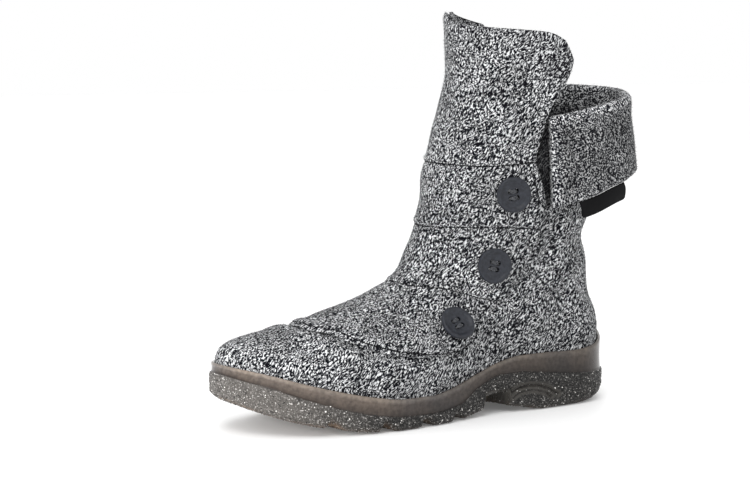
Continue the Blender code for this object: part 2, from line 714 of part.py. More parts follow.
def build_upper():
    """Vamp, quarters and shaft as one hollow wall. Its back turns out and down as the cuff."""
    shell = Shell()
    columns = list(range(-LAST_COLUMN + 1, LAST_COLUMN + 1))

    def on_form(key, level, turn, wall):
        point = form(level, turn)
        normal = flat_outward(level, turn) if level <= 1 else outward(level, turn)
        shell.put(key, point, point - normal * wall)

    for level in range(SLIT_LEVEL + 1):
        for c in columns:
            on_form((level, c), float(level), TURNS[c], wall_at(level, TURNS[c]))
    for level in range(SLIT_LEVEL):
        for n, c in enumerate(columns):
            d = columns[(n + 1) % len(columns)]
            shell.cell((level, c), (level, d), (level + 1, d), (level + 1, c))

    front = list(range(-FRONT_COLUMNS, FRONT_COLUMNS + 1))
    for r in range(1, STRIP_ROWS + 1):
        for c in front:
            level, turn = strip_spot(r / STRIP_ROWS, TURNS[c])
            on_form(("front", r, c), level, turn, LINING_WALL)
    for r in range(STRIP_ROWS):
        for c, d in zip(front[:-1], front[1:]):
            low = [(SLIT_LEVEL, c), (SLIT_LEVEL, d)] if r == 0 else [("front", r, c), ("front", r, d)]
            shell.cell(*low, ("front", r + 1, d), ("front", r + 1, c))

    slit = FRONT_COLUMNS + 1
    back = list(range(slit, LAST_COLUMN + 1)) + list(range(-LAST_COLUMN + 1, -slit + 1))
    rows = CUFF_WALL_ROWS + CUFF_FOLD_ROWS + CUFF_DROP_ROWS
    for c in back:
        turn = TURNS[c]
        foot = form(float(SLIT_LEVEL), turn)[2]
        top = fold_height(turn)
        for r in range(1, CUFF_WALL_ROWS):
            level = level_at(foot + (top - foot) * r / CUFF_WALL_ROWS, turn)
            on_form(("back", r, c), level, turn, WALL)
        level = level_at(top, turn)
        normal = flat_outward(level, turn)
        centre = form(level, turn) + normal * CUFF_SLACK / 2
        near = CUFF_SLACK / 2
        far = CUFF_SLACK / 2 + WALL
        rise = np.array([0.0, 0.0, 1.0])
        for r in range(CUFF_FOLD_ROWS + 1):
            bend = math.pi * r / CUFF_FOLD_ROWS
            way = -math.cos(bend) * normal + math.sin(bend) * rise
            shell.put(("back", CUFF_WALL_ROWS + r, c), centre + way * near, centre + way * far)
        for r in range(1, CUFF_DROP_ROWS + 1):
            drop = cuff_drop(turn) * r / CUFF_DROP_ROWS
            shift = normal * CUFF_FLARE * drop - rise * drop
            shell.put(("back", CUFF_WALL_ROWS + CUFF_FOLD_ROWS + r, c),
                      centre + normal * near + shift, centre + normal * far + shift)
    for r in range(rows):
        for c, d in zip(back[:-1], back[1:]):
            low = [(SLIT_LEVEL, c), (SLIT_LEVEL, d)] if r == 0 else [("back", r, c), ("back", r, d)]
            shell.cell(*low, ("back", r + 1, d), ("back", r + 1, c))
    shell.solid("upper", material("mottled_knit", (0.30, 0.30, 0.31), 0.95))


def edge_spots(rows, side):
    """Level and turn at each row of an edge table."""
    return [(row[0], *locate(row[1] * SOLE_LENGTH, row[2] * INSTEP_HEIGHT, side)) for row in rows]


def ridge_level(along):
    """Level whose front lies at a place along the sole."""
    levels = np.linspace(1, LEVEL_COUNT - 1, SEARCH_LEVELS)
    places = form(levels, np.zeros(SEARCH_LEVELS))[:, 0]
    return float(np.interp(ORIGIN_FROM_HEEL - along, places, levels))


def build_panel():
    """Tall front panel over the instep and shin: sewn along the vamp, free as a flap on the outer side."""
    finish = material("panel_knit", (0.30, 0.30, 0.31), 0.95)
    shell = Shell()
    front = list(range(-FRONT_COLUMNS, FRONT_COLUMNS + 1))
    seam = {}
    flap = {}
    for side in (OUTER, INNER):
        spots = edge_spots(SEAM_ROWS[1:], side)
        seam[side] = [(0.0, ridge_level(SEAM_ROWS[0][1] * SOLE_LENGTH), 0.0)] + spots
        flap[side] = edge_spots(FLAP_ROWS, side) + [(1.0, float(SLIT_LEVEL), side * SLIT_PLACE)]

    def place(key, level, turn):
        point = form(level, turn)
        normal = outward(level, turn)
        shell.put(key, point + normal * (PANEL_GAP + PANEL_WALL), point + normal * PANEL_GAP)

    for r in range(PANEL_LOW_ROWS + 1):
        up = r / PANEL_LOW_ROWS
        for c in front:
            side = OUTER if c >= 0 else INNER
            over = abs(c) / FRONT_COLUMNS
            spot = []
            for column, top in ((1, float(SLIT_LEVEL)), (2, TURNS[c])):
                low = float(smooth(seam[side], over, column))
                ridge_foot = seam[side][0][column]
                ridge_top = float(SLIT_LEVEL) if column == 1 else 0.0
                edge_foot = flap[side][0][column]
                edge_top = flap[side][-1][column]
                edge = float(smooth(flap[side], up, column))
                ridge = ridge_foot + (ridge_top - ridge_foot) * up
                ruled = low * (1 - up) + top * up
                sides = ridge * (1 - over) + edge * over
                corners = ((ridge_foot * (1 - over) + edge_foot * over) * (1 - up)
                           + (ridge_top * (1 - over) + edge_top * over) * up)
                spot.append(ruled + sides - corners)
            place((r, c), *spot)
    for r in range(1, PANEL_HIGH_ROWS + 1):
        for c in front:
            place((PANEL_LOW_ROWS + r, c), *strip_spot(r / PANEL_HIGH_ROWS, TURNS[c]))
    for r in range(PANEL_LOW_ROWS + PANEL_HIGH_ROWS):
        for c, d in zip(front[:-1], front[1:]):
            shell.cell((r, c), (r, d), (r + 1, d), (r + 1, c))
    shell.solid("front_panel", finish)


BUTTON_SIDES = 20
BUTTON_HOLE_RADIUS = 0.0011
BUTTON_HOLE_OFFSET = 0.0022
BUTTON_PROFILE = (
    # radius as a share of half BUTTON_DIAMETER, height as a share of BUTTON_THICKNESS
    (0.80, 0.00),
    (1.00, 0.35),
    (1.00, 0.75),
    (0.92, 1.00),
    (0.80, 0.95),
    (0.68, 0.62),
)
SEAT_LEVELS = 2.0
SEAT_TURNS = 0.12
SEAT_SAMPLES = 25
SEAT_REACH = 0.55


def build_button(name, along_share, height_share):
    """Four-hole coat button with a raised rim, flat on the front panel."""
    level, turn = locate(along_share * SOLE_LENGTH, height_share * PANEL_HEIGHT, OUTER)
    middle = form(level, turn)
    levels, turns = np.meshgrid(
        np.linspace(level - SEAT_LEVELS, level + SEAT_LEVELS, SEAT_SAMPLES),
        np.linspace(turn - SEAT_TURNS, turn + SEAT_TURNS, SEAT_SAMPLES))
    cloth = form(levels, turns)
    facing = outward(levels, turns)
    cloth = cloth + facing * (PANEL_GAP + PANEL_WALL)
    under = np.linalg.norm(cloth - middle, axis=-1) < BUTTON_DIAMETER * SEAT_REACH
    normal = facing[under].mean(axis=0)
    normal /= np.linalg.norm(normal)
    lift = float(((cloth[under] - middle) @ normal).max())
    seat = middle + normal * (lift + CLEARANCE)
    points = []
    for radius_share, thickness_share in BUTTON_PROFILE:
        out = BUTTON_DIAMETER / 2 * radius_share
        for i in range(BUTTON_SIDES):
            angle = 2 * math.pi * i / BUTTON_SIDES
            points.append((out * math.cos(angle), out * math.sin(angle), BUTTON_THICKNESS * thickness_share))
    faces = [tuple(range(BUTTON_SIDES)), tuple(range(len(points) - BUTTON_SIDES, len(points)))]
    for r in range(len(BUTTON_PROFILE) - 1):
        for i in range(BUTTON_SIDES):
            j = (i + 1) % BUTTON_SIDES
            base = r * BUTTON_SIDES
            faces.append((base + i, base + j, base + BUTTON_SIDES + j, base + BUTTON_SIDES + i))
    button = add_object(name, points, faces, material(name + "_horn", (0.045, 0.047, 0.055), 0.4), 30)
    turn_to = bpy.data.objects.new(name + "_axis", None)
    bpy.context.scene.collection.objects.link(turn_to)
    x_way = np.cross([0.0, 0.0, 1.0], normal)
    x_way /= np.linalg.norm(x_way)
    y_way = np.cross(normal, x_way)
    turn_to.matrix_world = Matrix((
        (x_way[0], y_way[0], normal[0], seat[0]),
        (x_way[1], y_way[1], normal[1], seat[1]),
        (x_way[2], y_way[2], normal[2], seat[2]),
        (0.0, 0.0, 0.0, 1.0),
    ))
    button.parent = turn_to
    for i in range(4):
        angle = math.pi / 4 + math.pi / 2 * i
        bpy.ops.mesh.primitive_cylinder_add(
            vertices=8, radius=BUTTON_HOLE_RADIUS, depth=BUTTON_THICKNESS * 4,
            location=(BUTTON_HOLE_OFFSET * math.cos(angle), BUTTON_HOLE_OFFSET * math.sin(angle), 0.0))
        hole = bpy.context.object
        hole.name = f"cut_{name}_{i}"
        hole.hide_render = True
        hole.display_type = "WIRE"
        hole.parent = turn_to
        cut(button, hole)


LABEL_PLACE = 0.158
LABEL_STATIONS = 8
LABEL_PROBE = 0.01
LABEL_GAP = 0.0005


def build_label():
    """Woven tab that hangs from the hem of the cuff on its outer side."""
    start = SLIT_PLACE + SLIT_SHARE

    def hem(place):
        turn = start + (1 - start) * place * 2
        level = level_at(fold_height(turn), turn)
        normal = flat_outward(level, turn)
        drop = cuff_drop(turn)
        reach = CUFF_SLACK / 2 + WALL / 2 + CUFF_FLARE * drop + CUFF_SLACK / 2
        return form(level, turn) + normal * reach - np.array([0.0, 0.0, drop]), normal

    here, _ = hem(LABEL_PLACE)
    beside, _ = hem(LABEL_PLACE + LABEL_PROBE)
    span = LABEL_LENGTH / np.linalg.norm(beside - here) * LABEL_PROBE
    shell = Shell()
    for c in range(LABEL_STATIONS + 1):
        place = LABEL_PLACE + span * (c / LABEL_STATIONS - 0.5)
        point, normal = hem(place)
        down = np.cross(normal, hem(place + LABEL_PROBE)[0] - hem(place - LABEL_PROBE)[0])
        down *= -np.sign(down[2]) / np.linalg.norm(down)
        for r, drop in enumerate((LABEL_GAP, LABEL_DROP / 2, LABEL_DROP)):
            middle = point + down * drop
            shell.put((r, c), middle - normal * LABEL_THICKNESS / 2, middle + normal * LABEL_THICKNESS / 2)
    for r in range(2):
        for c in range(LABEL_STATIONS):
            shell.cell((r, c), (r, c + 1), (r + 1, c + 1), (r + 1, c))
    shell.solid("side_label", material("black_woven", (0.012, 0.012, 0.013), 0.8))


for old in list(bpy.data.objects):
    bpy.data.objects.remove(old)
build_sole()
build_insole()
build_upper()
build_panel()
for button_row in BUTTON_ROWS:
    build_button(*button_row)
build_label()
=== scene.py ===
# %% [markdown]
# # A knitted snow boot, dressed around its CAD frame
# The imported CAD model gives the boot's size, its place and its solids. This lesson keeps all of that and adds
# what a solid can't show: mottled knit with creases, sewn seams, buttons with thread, and a see-through
# rubber cup with grit in it. Each step says what the piece is on the real boot and why it is made that way.

# %% Load the frame
import math
import bmesh
import bpy
import numpy as np
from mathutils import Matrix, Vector


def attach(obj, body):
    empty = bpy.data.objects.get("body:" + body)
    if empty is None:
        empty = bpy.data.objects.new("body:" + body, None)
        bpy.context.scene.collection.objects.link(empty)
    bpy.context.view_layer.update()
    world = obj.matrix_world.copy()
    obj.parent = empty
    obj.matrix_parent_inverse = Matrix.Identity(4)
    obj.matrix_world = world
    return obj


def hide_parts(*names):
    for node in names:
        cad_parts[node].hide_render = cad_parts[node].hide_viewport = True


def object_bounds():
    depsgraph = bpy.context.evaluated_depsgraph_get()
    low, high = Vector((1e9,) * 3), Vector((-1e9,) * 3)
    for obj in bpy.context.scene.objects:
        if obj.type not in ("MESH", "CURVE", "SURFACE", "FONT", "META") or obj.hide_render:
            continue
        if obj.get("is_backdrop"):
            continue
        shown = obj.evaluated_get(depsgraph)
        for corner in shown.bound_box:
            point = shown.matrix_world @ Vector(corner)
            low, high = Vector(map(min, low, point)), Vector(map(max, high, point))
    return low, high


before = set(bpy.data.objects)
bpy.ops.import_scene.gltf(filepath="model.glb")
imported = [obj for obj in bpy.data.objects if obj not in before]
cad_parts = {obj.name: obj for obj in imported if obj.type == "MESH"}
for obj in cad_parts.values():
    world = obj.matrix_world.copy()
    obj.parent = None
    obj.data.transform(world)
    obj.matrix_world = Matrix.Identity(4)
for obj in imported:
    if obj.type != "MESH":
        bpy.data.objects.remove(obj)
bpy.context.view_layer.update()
scene = bpy.context.scene

# %% [markdown]
# ## Camera
# The photograph shows the outer side from a little above the floor, with the toe to the left. The camera is
# fixed by its place, the way it looks and its lens. A small lens shift puts the boot where the photograph's
# frame has it, without turning the camera, so upright lines stay as they are.

# %% Camera
CAMERA_PLACE = Vector((-0.72027, -1.00133, 0.23032))
CAMERA_BACK = Vector((-0.54189, -0.83444, 0.10027))
FRAME_WIDTH_PX = 750
LENS_PX = 1949.57
SENSOR = 36.0
camera_data = bpy.data.cameras.new("photo_camera")
camera_data.sensor_width = SENSOR
camera_data.sensor_fit = "HORIZONTAL"
camera_data.lens = LENS_PX * SENSOR / FRAME_WIDTH_PX
camera_data.shift_x = -0.0999
camera_data.shift_y = -0.0128
camera_data.clip_start = 0.05
camera_data.clip_end = 50.0
camera = bpy.data.objects.new("photo_camera", camera_data)
scene.collection.objects.link(camera)
camera.location = CAMERA_PLACE
camera.rotation_mode = "QUATERNION"
camera.rotation_quaternion = CAMERA_BACK.to_track_quat("Z", "Y")
scene.camera = camera
print("lens, mm:", round(camera_data.lens, 1))

# %% [markdown]
# ## Light and floor
# The boot was photographed on white, under large soft lamps. Big area lamps give the same soft shading: one
# high on the left, one in front, and one behind that draws a light rim on the wool. A small one low beside
# the toe makes it the palest place. The floor is a pale plane with a faint mottle, and the world behind it is
# as bright as the floor, so no horizon shows.


# %% Light and floor
def look_at(target, place):
    """Turn of a lamp at a place that shines at a target."""
    return (Vector(place) - Vector(target)).to_track_quat("Z", "Y")


AIM = (-0.07, 0.0, 0.10)
LAMPS = (
    # name, place, aim, size, power in watts, whether glossy rubber mirrors it
    ("key_lamp", (-0.9, -0.9, 1.5), AIM, 0.9, 11.0, True),
    ("toe_lamp", (-0.50, -0.16, 0.11), (-0.23, -0.02, 0.02), 0.12, 0.85, False),
    ("front_lamp", (0.5, -1.6, 0.7), AIM, 1.0, 2.0, True),
    ("rim_lamp", (0.6, 1.3, 1.3), AIM, 1.0, 6.0, True),
)
for lamp_name, lamp_place, lamp_aim, lamp_size, lamp_power, lamp_mirrored in LAMPS:
    lamp_data = bpy.data.lights.new(lamp_name, "AREA")
    lamp_data.shape = "DISK"
    lamp_data.size = lamp_size
    lamp_data.energy = lamp_power
    lamp = bpy.data.objects.new(lamp_name, lamp_data)
    scene.collection.objects.link(lamp)
    lamp.visible_glossy = lamp_mirrored
    lamp.location = lamp_place
    lamp.rotation_mode = "QUATERNION"
    lamp.rotation_quaternion = look_at(lamp_aim, lamp_place)
world = bpy.data.worlds.new("white_room")
world.use_nodes = True
world.node_tree.nodes["Background"].inputs["Color"].default_value = (1.0, 1.0, 1.0, 1.0)
world.node_tree.nodes["Background"].inputs["Strength"].default_value = 1.0
scene.world = world
scene.view_settings.view_transform = "Standard"
print("lamps:", len(LAMPS))

# %% [markdown]
# ## Node helpers
# Materials and Geometry Nodes trees are wired by hand below. These helpers add a node, set its plain inputs
# and link the rest, so that a tree reads as a short list.


# %% Node helpers
def add_node(tree, kind, sockets=None, **settings):
    """New node. Sockets maps an input's name or number to a plain value or to an output of another node."""
    made = tree.nodes.new(kind)
    for key, value in settings.items():
        setattr(made, key, value)
    for key, value in (sockets or {}).items():
        if isinstance(value, bpy.types.NodeSocket):
            tree.links.new(value, made.inputs[key])
        else:
            made.inputs[key].default_value = value
    return made


def ramp(tree, factor, stops):
    """Colour ramp with stops of (place, grey or colour)."""
    made = add_node(tree, "ShaderNodeValToRGB", {"Fac": factor})
    band = made.color_ramp.elements
    while len(band) < len(stops):
        band.new(0.5)
    for element, (place, colour) in zip(band, stops):
        element.position = place
        element.color = (*colour, 1.0) if isinstance(colour, tuple) else (colour, colour, colour, 1.0)
    return made.outputs["Color"]


def mixed(tree, factor, first, second, blend="MIX"):
    """Colour mix of two colours or outputs."""
    made = add_node(tree, "ShaderNodeMix", data_type="RGBA", blend_type=blend)
    for key, value in ((0, factor), (6, first), (7, second)):
        if isinstance(value, bpy.types.NodeSocket):
            tree.links.new(value, made.inputs[key])
        else:
            made.inputs[key].default_value = (*value, 1.0) if isinstance(value, tuple) else value
    return made.outputs[2]


def math_node(tree, operation, first, second):
    """Sum or product of two numbers or outputs."""
    return add_node(tree, "ShaderNodeMath", {0: first, 1: second}, operation=operation).outputs[0]


def object_place(tree):
    """Object coordinates of the piece."""
    return add_node(tree, "ShaderNodeTexCoord").outputs["Object"]


def attribute(tree, name):
    """Number that a piece's mesh carries at each point."""
    return add_node(tree, "ShaderNodeAttribute", attribute_name=name).outputs["Fac"]


def noise(tree, place, scale, detail, **sockets):
    """Noise texture at a place. Other sockets are named with their first letter small."""
    more = {key.capitalize(): value for key, value in sockets.items()}
    return add_node(tree, "ShaderNodeTexNoise", {"Vector": place, "Scale": scale, "Detail": detail, **more})


def scaled(tree, colour, factor):
    """Colour times a number that may pass 1."""
    made = add_node(tree, "ShaderNodeVectorMath", {0: colour, "Scale": factor}, operation="SCALE")
    return made.outputs["Vector"]


def bumped(tree, shader, height, strength, distance):
    """Bump from a height, linked to the shader."""
    bump = add_node(tree, "ShaderNodeBump", {"Height": height, "Strength": strength, "Distance": distance})
    tree.links.new(bump.outputs["Normal"], shader.inputs["Normal"])


def new_material(name, roughness, **constants):
    """Material with its shader, and the tree to wire. Constants are set on the shader's own sockets."""
    made = bpy.data.materials.new(name)
    made.use_nodes = True
    tree = made.node_tree
    shader = tree.nodes["Principled BSDF"]
    shader.inputs["Roughness"].default_value = roughness
    for key, value in constants.items():
        shader.inputs[key.replace("_", " ")].default_value = value
    return made, tree, shader


floor_finish, tree, shader = new_material("pale_floor", 0.55, Emission_Strength=0.10)
shader.inputs["Emission Color"].default_value = (1.0, 1.0, 1.0, 1.0)
mottle = noise(tree, object_place(tree), 3.0, 2.0)
tree.links.new(ramp(tree, mottle.outputs["Fac"], ((0.3, 0.90), (0.7, 0.92))), shader.inputs["Base Color"])
FLOOR_HALF = 6.0
FLOOR_CORNERS = ((-1, -1), (1, -1), (1, 1), (-1, 1))
floor_mesh = bpy.data.meshes.new("floor")
floor_mesh.from_pydata([(x * FLOOR_HALF, y * FLOOR_HALF, 0.0) for x, y in FLOOR_CORNERS], [], [(0, 1, 2, 3)])
floor_mesh.materials.append(floor_finish)
floor = bpy.data.objects.new("floor", floor_mesh)
scene.collection.objects.link(floor)
floor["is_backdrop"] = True
print("floor, m:", FLOOR_HALF * 2)

# %% [markdown]
# ## The boot's own shape
# The knit and the rubber follow the same rules as the CAD solids: a sole outline with named widths, a side
# view of the sole, and a stack of level curves from the feather line to the top. Repeating those rules here
# gives a surface as fine as wanted, exactly where the solids are.

# %% Sizes and tables
SOLE_LENGTH = 0.266
WIDTHS = {"heel": 0.0768, "waist": 0.0765, "ball": 0.1035}
TOE_ROUND_OUTER = 0.095
TOE_ROUND_INNER = 0.070
TOE_SHIFT = 0.007
HEEL_ROUND = 0.038
ORIGIN_FROM_HEEL = 0.038
LIP_HEIGHT = 0.044
TOE_SPRING = 0.022
ARCH_RISE = 0.0050
LIP_INSET = 0.0012
LIP_THICKNESS = 0.0020
INSTEP_HEIGHT = 0.079
PANEL_HEIGHT = 0.245
SHAFT_WIDTH = 0.088
WALL = 0.0040
LINING_WALL = 0.0022
CUFF_DROP = 0.048
CUFF_SLACK = 0.0005
CUFF_FLARE = 0.09
PANEL_WALL = 0.0024
PANEL_GAP = 0.0010
CLEARANCE = 0.0003
UPPER_INSET = LIP_INSET + LIP_THICKNESS + CLEARANCE
UPPER_OVER_LIP = 0.0010
SLIT_SHARE = 0.012
SLIT_PLACE = 0.405
SLIT_LEVEL = 17
FIRST_ROW_LEVEL = 2
PANEL_LEAN = 0.13
PANEL_LEAN_START = 0.45
OUTER = 1
INNER = -1

OUTLINE_ROWS = (
    # along, width, outer, inner
    (0.00, "heel", 0.502, 0.498),
    (0.14, "heel", 0.502, 0.497),
    (0.26, "heel", 0.518, 0.494),
    (0.34, "waist", 0.508, 0.478),
    (0.37, "waist", 0.518, 0.466),
    (0.425, "waist", 0.560, 0.442),
    (0.51, "ball", 0.486, 0.335),
    (0.57, "ball", 0.531, 0.369),
    (0.65, "ball", 0.556, 0.415),
    (0.71, "ball", 0.560, 0.436),
    (0.80, "ball", 0.560, 0.440),
    (1.00, "ball", 0.560, 0.440),
)
SIDE_ROWS = (
    # along, spring, arch, step, lip, floor
    (0.000, 0.30, 0.00, 0.42, 1.000, 0.47),
    (0.030, 0.04, 0.00, 0.43, 0.900, 0.46),
    (0.080, 0.00, 0.00, 0.44, 0.820, 0.45),
    (0.150, 0.00, 0.00, 0.47, 0.785, 0.44),
    (0.235, 0.00, 0.00, 0.53, 0.800, 0.44),
    (0.300, 0.00, 0.55, 0.57, 0.795, 0.44),
    (0.360, 0.00, 1.00, 0.56, 0.730, 0.43),
    (0.430, 0.00, 0.45, 0.42, 0.600, 0.35),
    (0.485, 0.00, 0.00, 0.24, 0.500, 0.27),
    (0.560, 0.00, 0.00, 0.19, 0.420, 0.22),
    (0.640, 0.00, 0.00, 0.20, 0.425, 0.22),
    (0.715, 0.04, 0.00, 0.26, 0.490, 0.26),
    (0.790, 0.16, 0.00, 0.37, 0.590, 0.34),
    (0.865, 0.35, 0.00, 0.52, 0.715, 0.44),
    (0.940, 0.64, 0.00, 0.69, 0.850, 0.56),
    (1.000, 1.00, 0.00, 0.81, 0.930, 0.68),
)
LEVEL_ROWS = (
    # front, front height, back, back height, sag, swell, shaft, half, nose outer, nose inner, tail
    (0.984, 0.11, 0.0155, 0.10, 0.95, 1.030, 0.00, 0.40, 0.357, 0.265, 0.132),
    (0.973, 0.23, 0.0170, 0.22, 0.85, 1.045, 0.00, 0.40, 0.370, 0.280, 0.132),
    (0.951, 0.34, 0.0200, 0.35, 0.70, 1.050, 0.03, 0.40, 0.410, 0.320, 0.134),
    (0.913, 0.43, 0.0235, 0.48, 0.50, 1.045, 0.08, 0.40, 0.490, 0.400, 0.136),
    (0.857, 0.49, 0.0280, 0.60, 0.33, 1.030, 0.15, 0.40, 0.590, 0.500, 0.138),
    (0.782, 0.53, 0.0335, 0.73, 0.20, 1.010, 0.24, 0.40, 0.650, 0.580, 0.140),
    (0.700, 0.635, 0.0400, 0.88, 0.10, 1.000, 0.36, 0.40, 0.600, 0.560, 0.142),
    (0.620, 0.785, 0.0450, 1.01, 0.04, 0.990, 0.50, 0.40, 0.440, 0.430, 0.144),
    (0.557, 1.00, 0.0490, 1.055, 0.00, 0.980, 0.66, 0.40, 0.330, 0.330, 0.148),
    (0.524, 1.05, 0.0515, 1.097, 0.00, 0.970, 0.80, 0.405, 0.285, 0.285, 0.152),
    (0.501, 1.10, 0.0525, 1.133, 0.00, 0.960, 0.91, 0.415, 0.260, 0.260, 0.158),
    (0.484, 1.16, 0.0500, 1.175, 0.00, 0.950, 1.00, 0.430, 0.247, 0.247, 0.168),
    (0.470, 1.235, 0.0380, 1.230, 0.00, 0.950, 1.00, 0.445, 0.238, 0.238, 0.180),
    (0.459, 1.31, 0.0250, 1.290, 0.00, 0.950, 1.00, 0.458, 0.233, 0.233, 0.188),
    (0.448, 1.39, 0.0070, 1.355, 0.00, 0.950, 1.00, 0.470, 0.230, 0.230, 0.195),
    (0.433, 1.475, -0.0120, 1.427, 0.00, 0.950, 1.00, 0.480, 0.229, 0.229, 0.200),
    (0.420, 1.56, -0.0310, 1.505, 0.00, 0.950, 1.00, 0.490, 0.228, 0.228, 0.204),
    (0.400, 1.65, -0.0480, 1.583, 0.00, 0.950, 1.00, 0.498, 0.226, 0.226, 0.206),
    (0.380, 1.76, -0.0660, 1.667, 0.00, 0.950, 1.00, 0.502, 0.224, 0.224, 0.208),
    (0.381, 1.88, -0.0780, 1.760, 0.00, 0.950, 1.00, 0.505, 0.222, 0.222, 0.208),
    (0.382, 2.00, -0.0880, 1.860, 0.00, 0.950, 1.00, 0.508, 0.222, 0.222, 0.208),
)
FOLD_ROWS = (
    # place round, height
    (0.00, 0.718),
    (0.22, 0.752),
    (0.50, 0.782),
    (0.75, 0.790),
    (1.00, 0.745),
)
DROP_TABLE = (
    # place from the slit to the heel, drop of the cuff as a share of CUFF_DROP
    (0.00, 1.065),
    (0.20, 1.035),
    (0.40, 0.970),
    (0.60, 0.955),
    (1.00, 0.955),
)
TOP_ROWS = (
    # place round (-1 inner, 1 outer), height as a share of PANEL_HEIGHT
    (-1.00, 0.900),
    (-0.92, 0.962),
    (-0.75, 0.990),
    (-0.45, 1.000),
    (-0.22, 0.988),
    (0.00, 0.966),
    (0.40, 0.956),
    (0.80, 0.946),
    (0.93, 0.926),
    (1.00, 0.878),
)
PANEL_SEAM_ROWS = (
    # place, along, height as a share of INSTEP_HEIGHT
    (0.00, 0.793, 0.800),
    (0.45, 0.767, 0.703),
    (0.60, 0.710, 0.600),
    (0.75, 0.647, 0.548),
    (0.88, 0.568, 0.522),
    (1.00, 0.485, 0.545),
)
FLAP_ROWS = (
    # place, along, height as a share of INSTEP_HEIGHT
    (0.00, 0.485, 0.545),
    (0.16, 0.425, 0.640),
    (0.36, 0.354, 0.860),
    (0.50, 0.316, 1.030),
    (0.72, 0.266, 1.340),
    (0.88, 0.249, 1.610),
)
LEVEL_COUNT = FIRST_ROW_LEVEL + len(LEVEL_ROWS)
print("levels of the upper:", LEVEL_COUNT)


# %% Curves through the tables
def smooth(rows, place, column):
    """Value of one column at a place, by a curve through the rows that never overshoots them."""
    x = np.array([row[0] for row in rows])
    y = np.array([row[column] for row in rows])
    slope = np.diff(y) / np.diff(x)
    tangent = np.zeros_like(y)
    same_way = slope[:-1] * slope[1:] > 0
    pair = np.where(same_way, slope[:-1] + slope[1:], 1.0)
    tangent[1:-1] = np.where(same_way, 2 * slope[:-1] * slope[1:] / pair, 0.0)
    tangent[0] = slope[0]
    tangent[-1] = slope[-1]
    at = np.clip(np.asarray(place, dtype=float), x[0], x[-1])
    i = np.clip(np.searchsorted(x, at, side="right") - 1, 0, len(x) - 2)
    step = x[i + 1] - x[i]
    t = (at - x[i]) / step
    low = y[i] * (1 + 2 * t) * (1 - t) ** 2 + tangent[i] * step * t * (1 - t) ** 2
    high = y[i + 1] * t * t * (3 - 2 * t) + tangent[i + 1] * step * t * t * (t - 1)
    return low + high


def ease(x):
    """Smooth step from 0 to 1."""
    x = np.clip(x, 0.0, 1.0)
    return x * x * (3 - 2 * x)


def rounded(x):
    """Quarter ellipse: 0 at x = 0, 1 from x = 1 on."""
    x = np.clip(x, 0.0, 1.0)
    return np.sqrt(1 - (1 - x) ** 2)


def bell(distance, width):
    """Soft bump: 1 at distance 0, near 0 past two widths."""
    return np.exp(-(np.asarray(distance) / width) ** 2)


def axis_shift(along):
    """How far the sole's axis lies towards the inner side."""
    return TOE_SHIFT * ease((along / SOLE_LENGTH - 0.30) / 0.35)


HALF_ROWS = tuple(
    (place, WIDTHS[width] * outer, WIDTHS[width] * inner) for place, width, outer, inner in OUTLINE_ROWS
)


def body_half(along, side):
    """Half width of the sole before its ends are rounded."""
    share = along / SOLE_LENGTH
    return np.where(side == OUTER, smooth(HALF_ROWS, share, 1), smooth(HALF_ROWS, share, 2))


def outline(turn, inset):
    """Plan point (along, across) of the sole at turn 0 (toe) to 1 (heel); below 0 is the inner side."""
    def raw(t):
        """Point of the outline itself, before it is set in."""
        t = (np.asarray(t, dtype=float) + 1) % 2 - 1
        side = np.where(t >= 0, OUTER, INNER)
        along = SOLE_LENGTH * (1 + np.cos(math.pi * t)) / 2
        nose = np.where(side == OUTER, TOE_ROUND_OUTER, TOE_ROUND_INNER)
        half = body_half(along, side) * rounded((SOLE_LENGTH - along) / nose) * rounded(along / HEEL_ROUND)
        return np.stack([along, side * half - axis_shift(along)], -1)

    step = 0.004
    tangent = raw(turn + step) - raw(turn - step)
    tangent /= np.linalg.norm(tangent, axis=-1, keepdims=True)
    inward = np.stack([-tangent[..., 1], tangent[..., 0]], -1)
    return raw(turn) + inward * np.asarray(inset)[..., None]


def side_height(along, name):
    """Height of the tread, the step, the lip or the cup's floor at a place along the sole."""
    share = along / SOLE_LENGTH
    if name == "ground":
        return TOE_SPRING * smooth(SIDE_ROWS, share, 1) + ARCH_RISE * smooth(SIDE_ROWS, share, 2)
    return LIP_HEIGHT * smooth(SIDE_ROWS, share, {"step": 3, "lip": 4, "floor": 5}[name])


def world_point(along, across, height):
    """Point in the frame from a place along the sole, across it (outer side positive) and a height."""
    return np.stack([ORIGIN_FROM_HEEL - along, -across, height], -1)


print("sole's half width at the ball, mm:", round(float(body_half(0.7 * SOLE_LENGTH, OUTER)) * 1000, 1))


# %% The upper's form
def row_height(share, lip):
    """Height of a level from its share, counted from the lip to the instep and on to the panel's top."""
    if share <= 1:
        return lip + share * (INSTEP_HEIGHT - lip)
    return INSTEP_HEIGHT + (share - 1) * (PANEL_HEIGHT - INSTEP_HEIGHT)


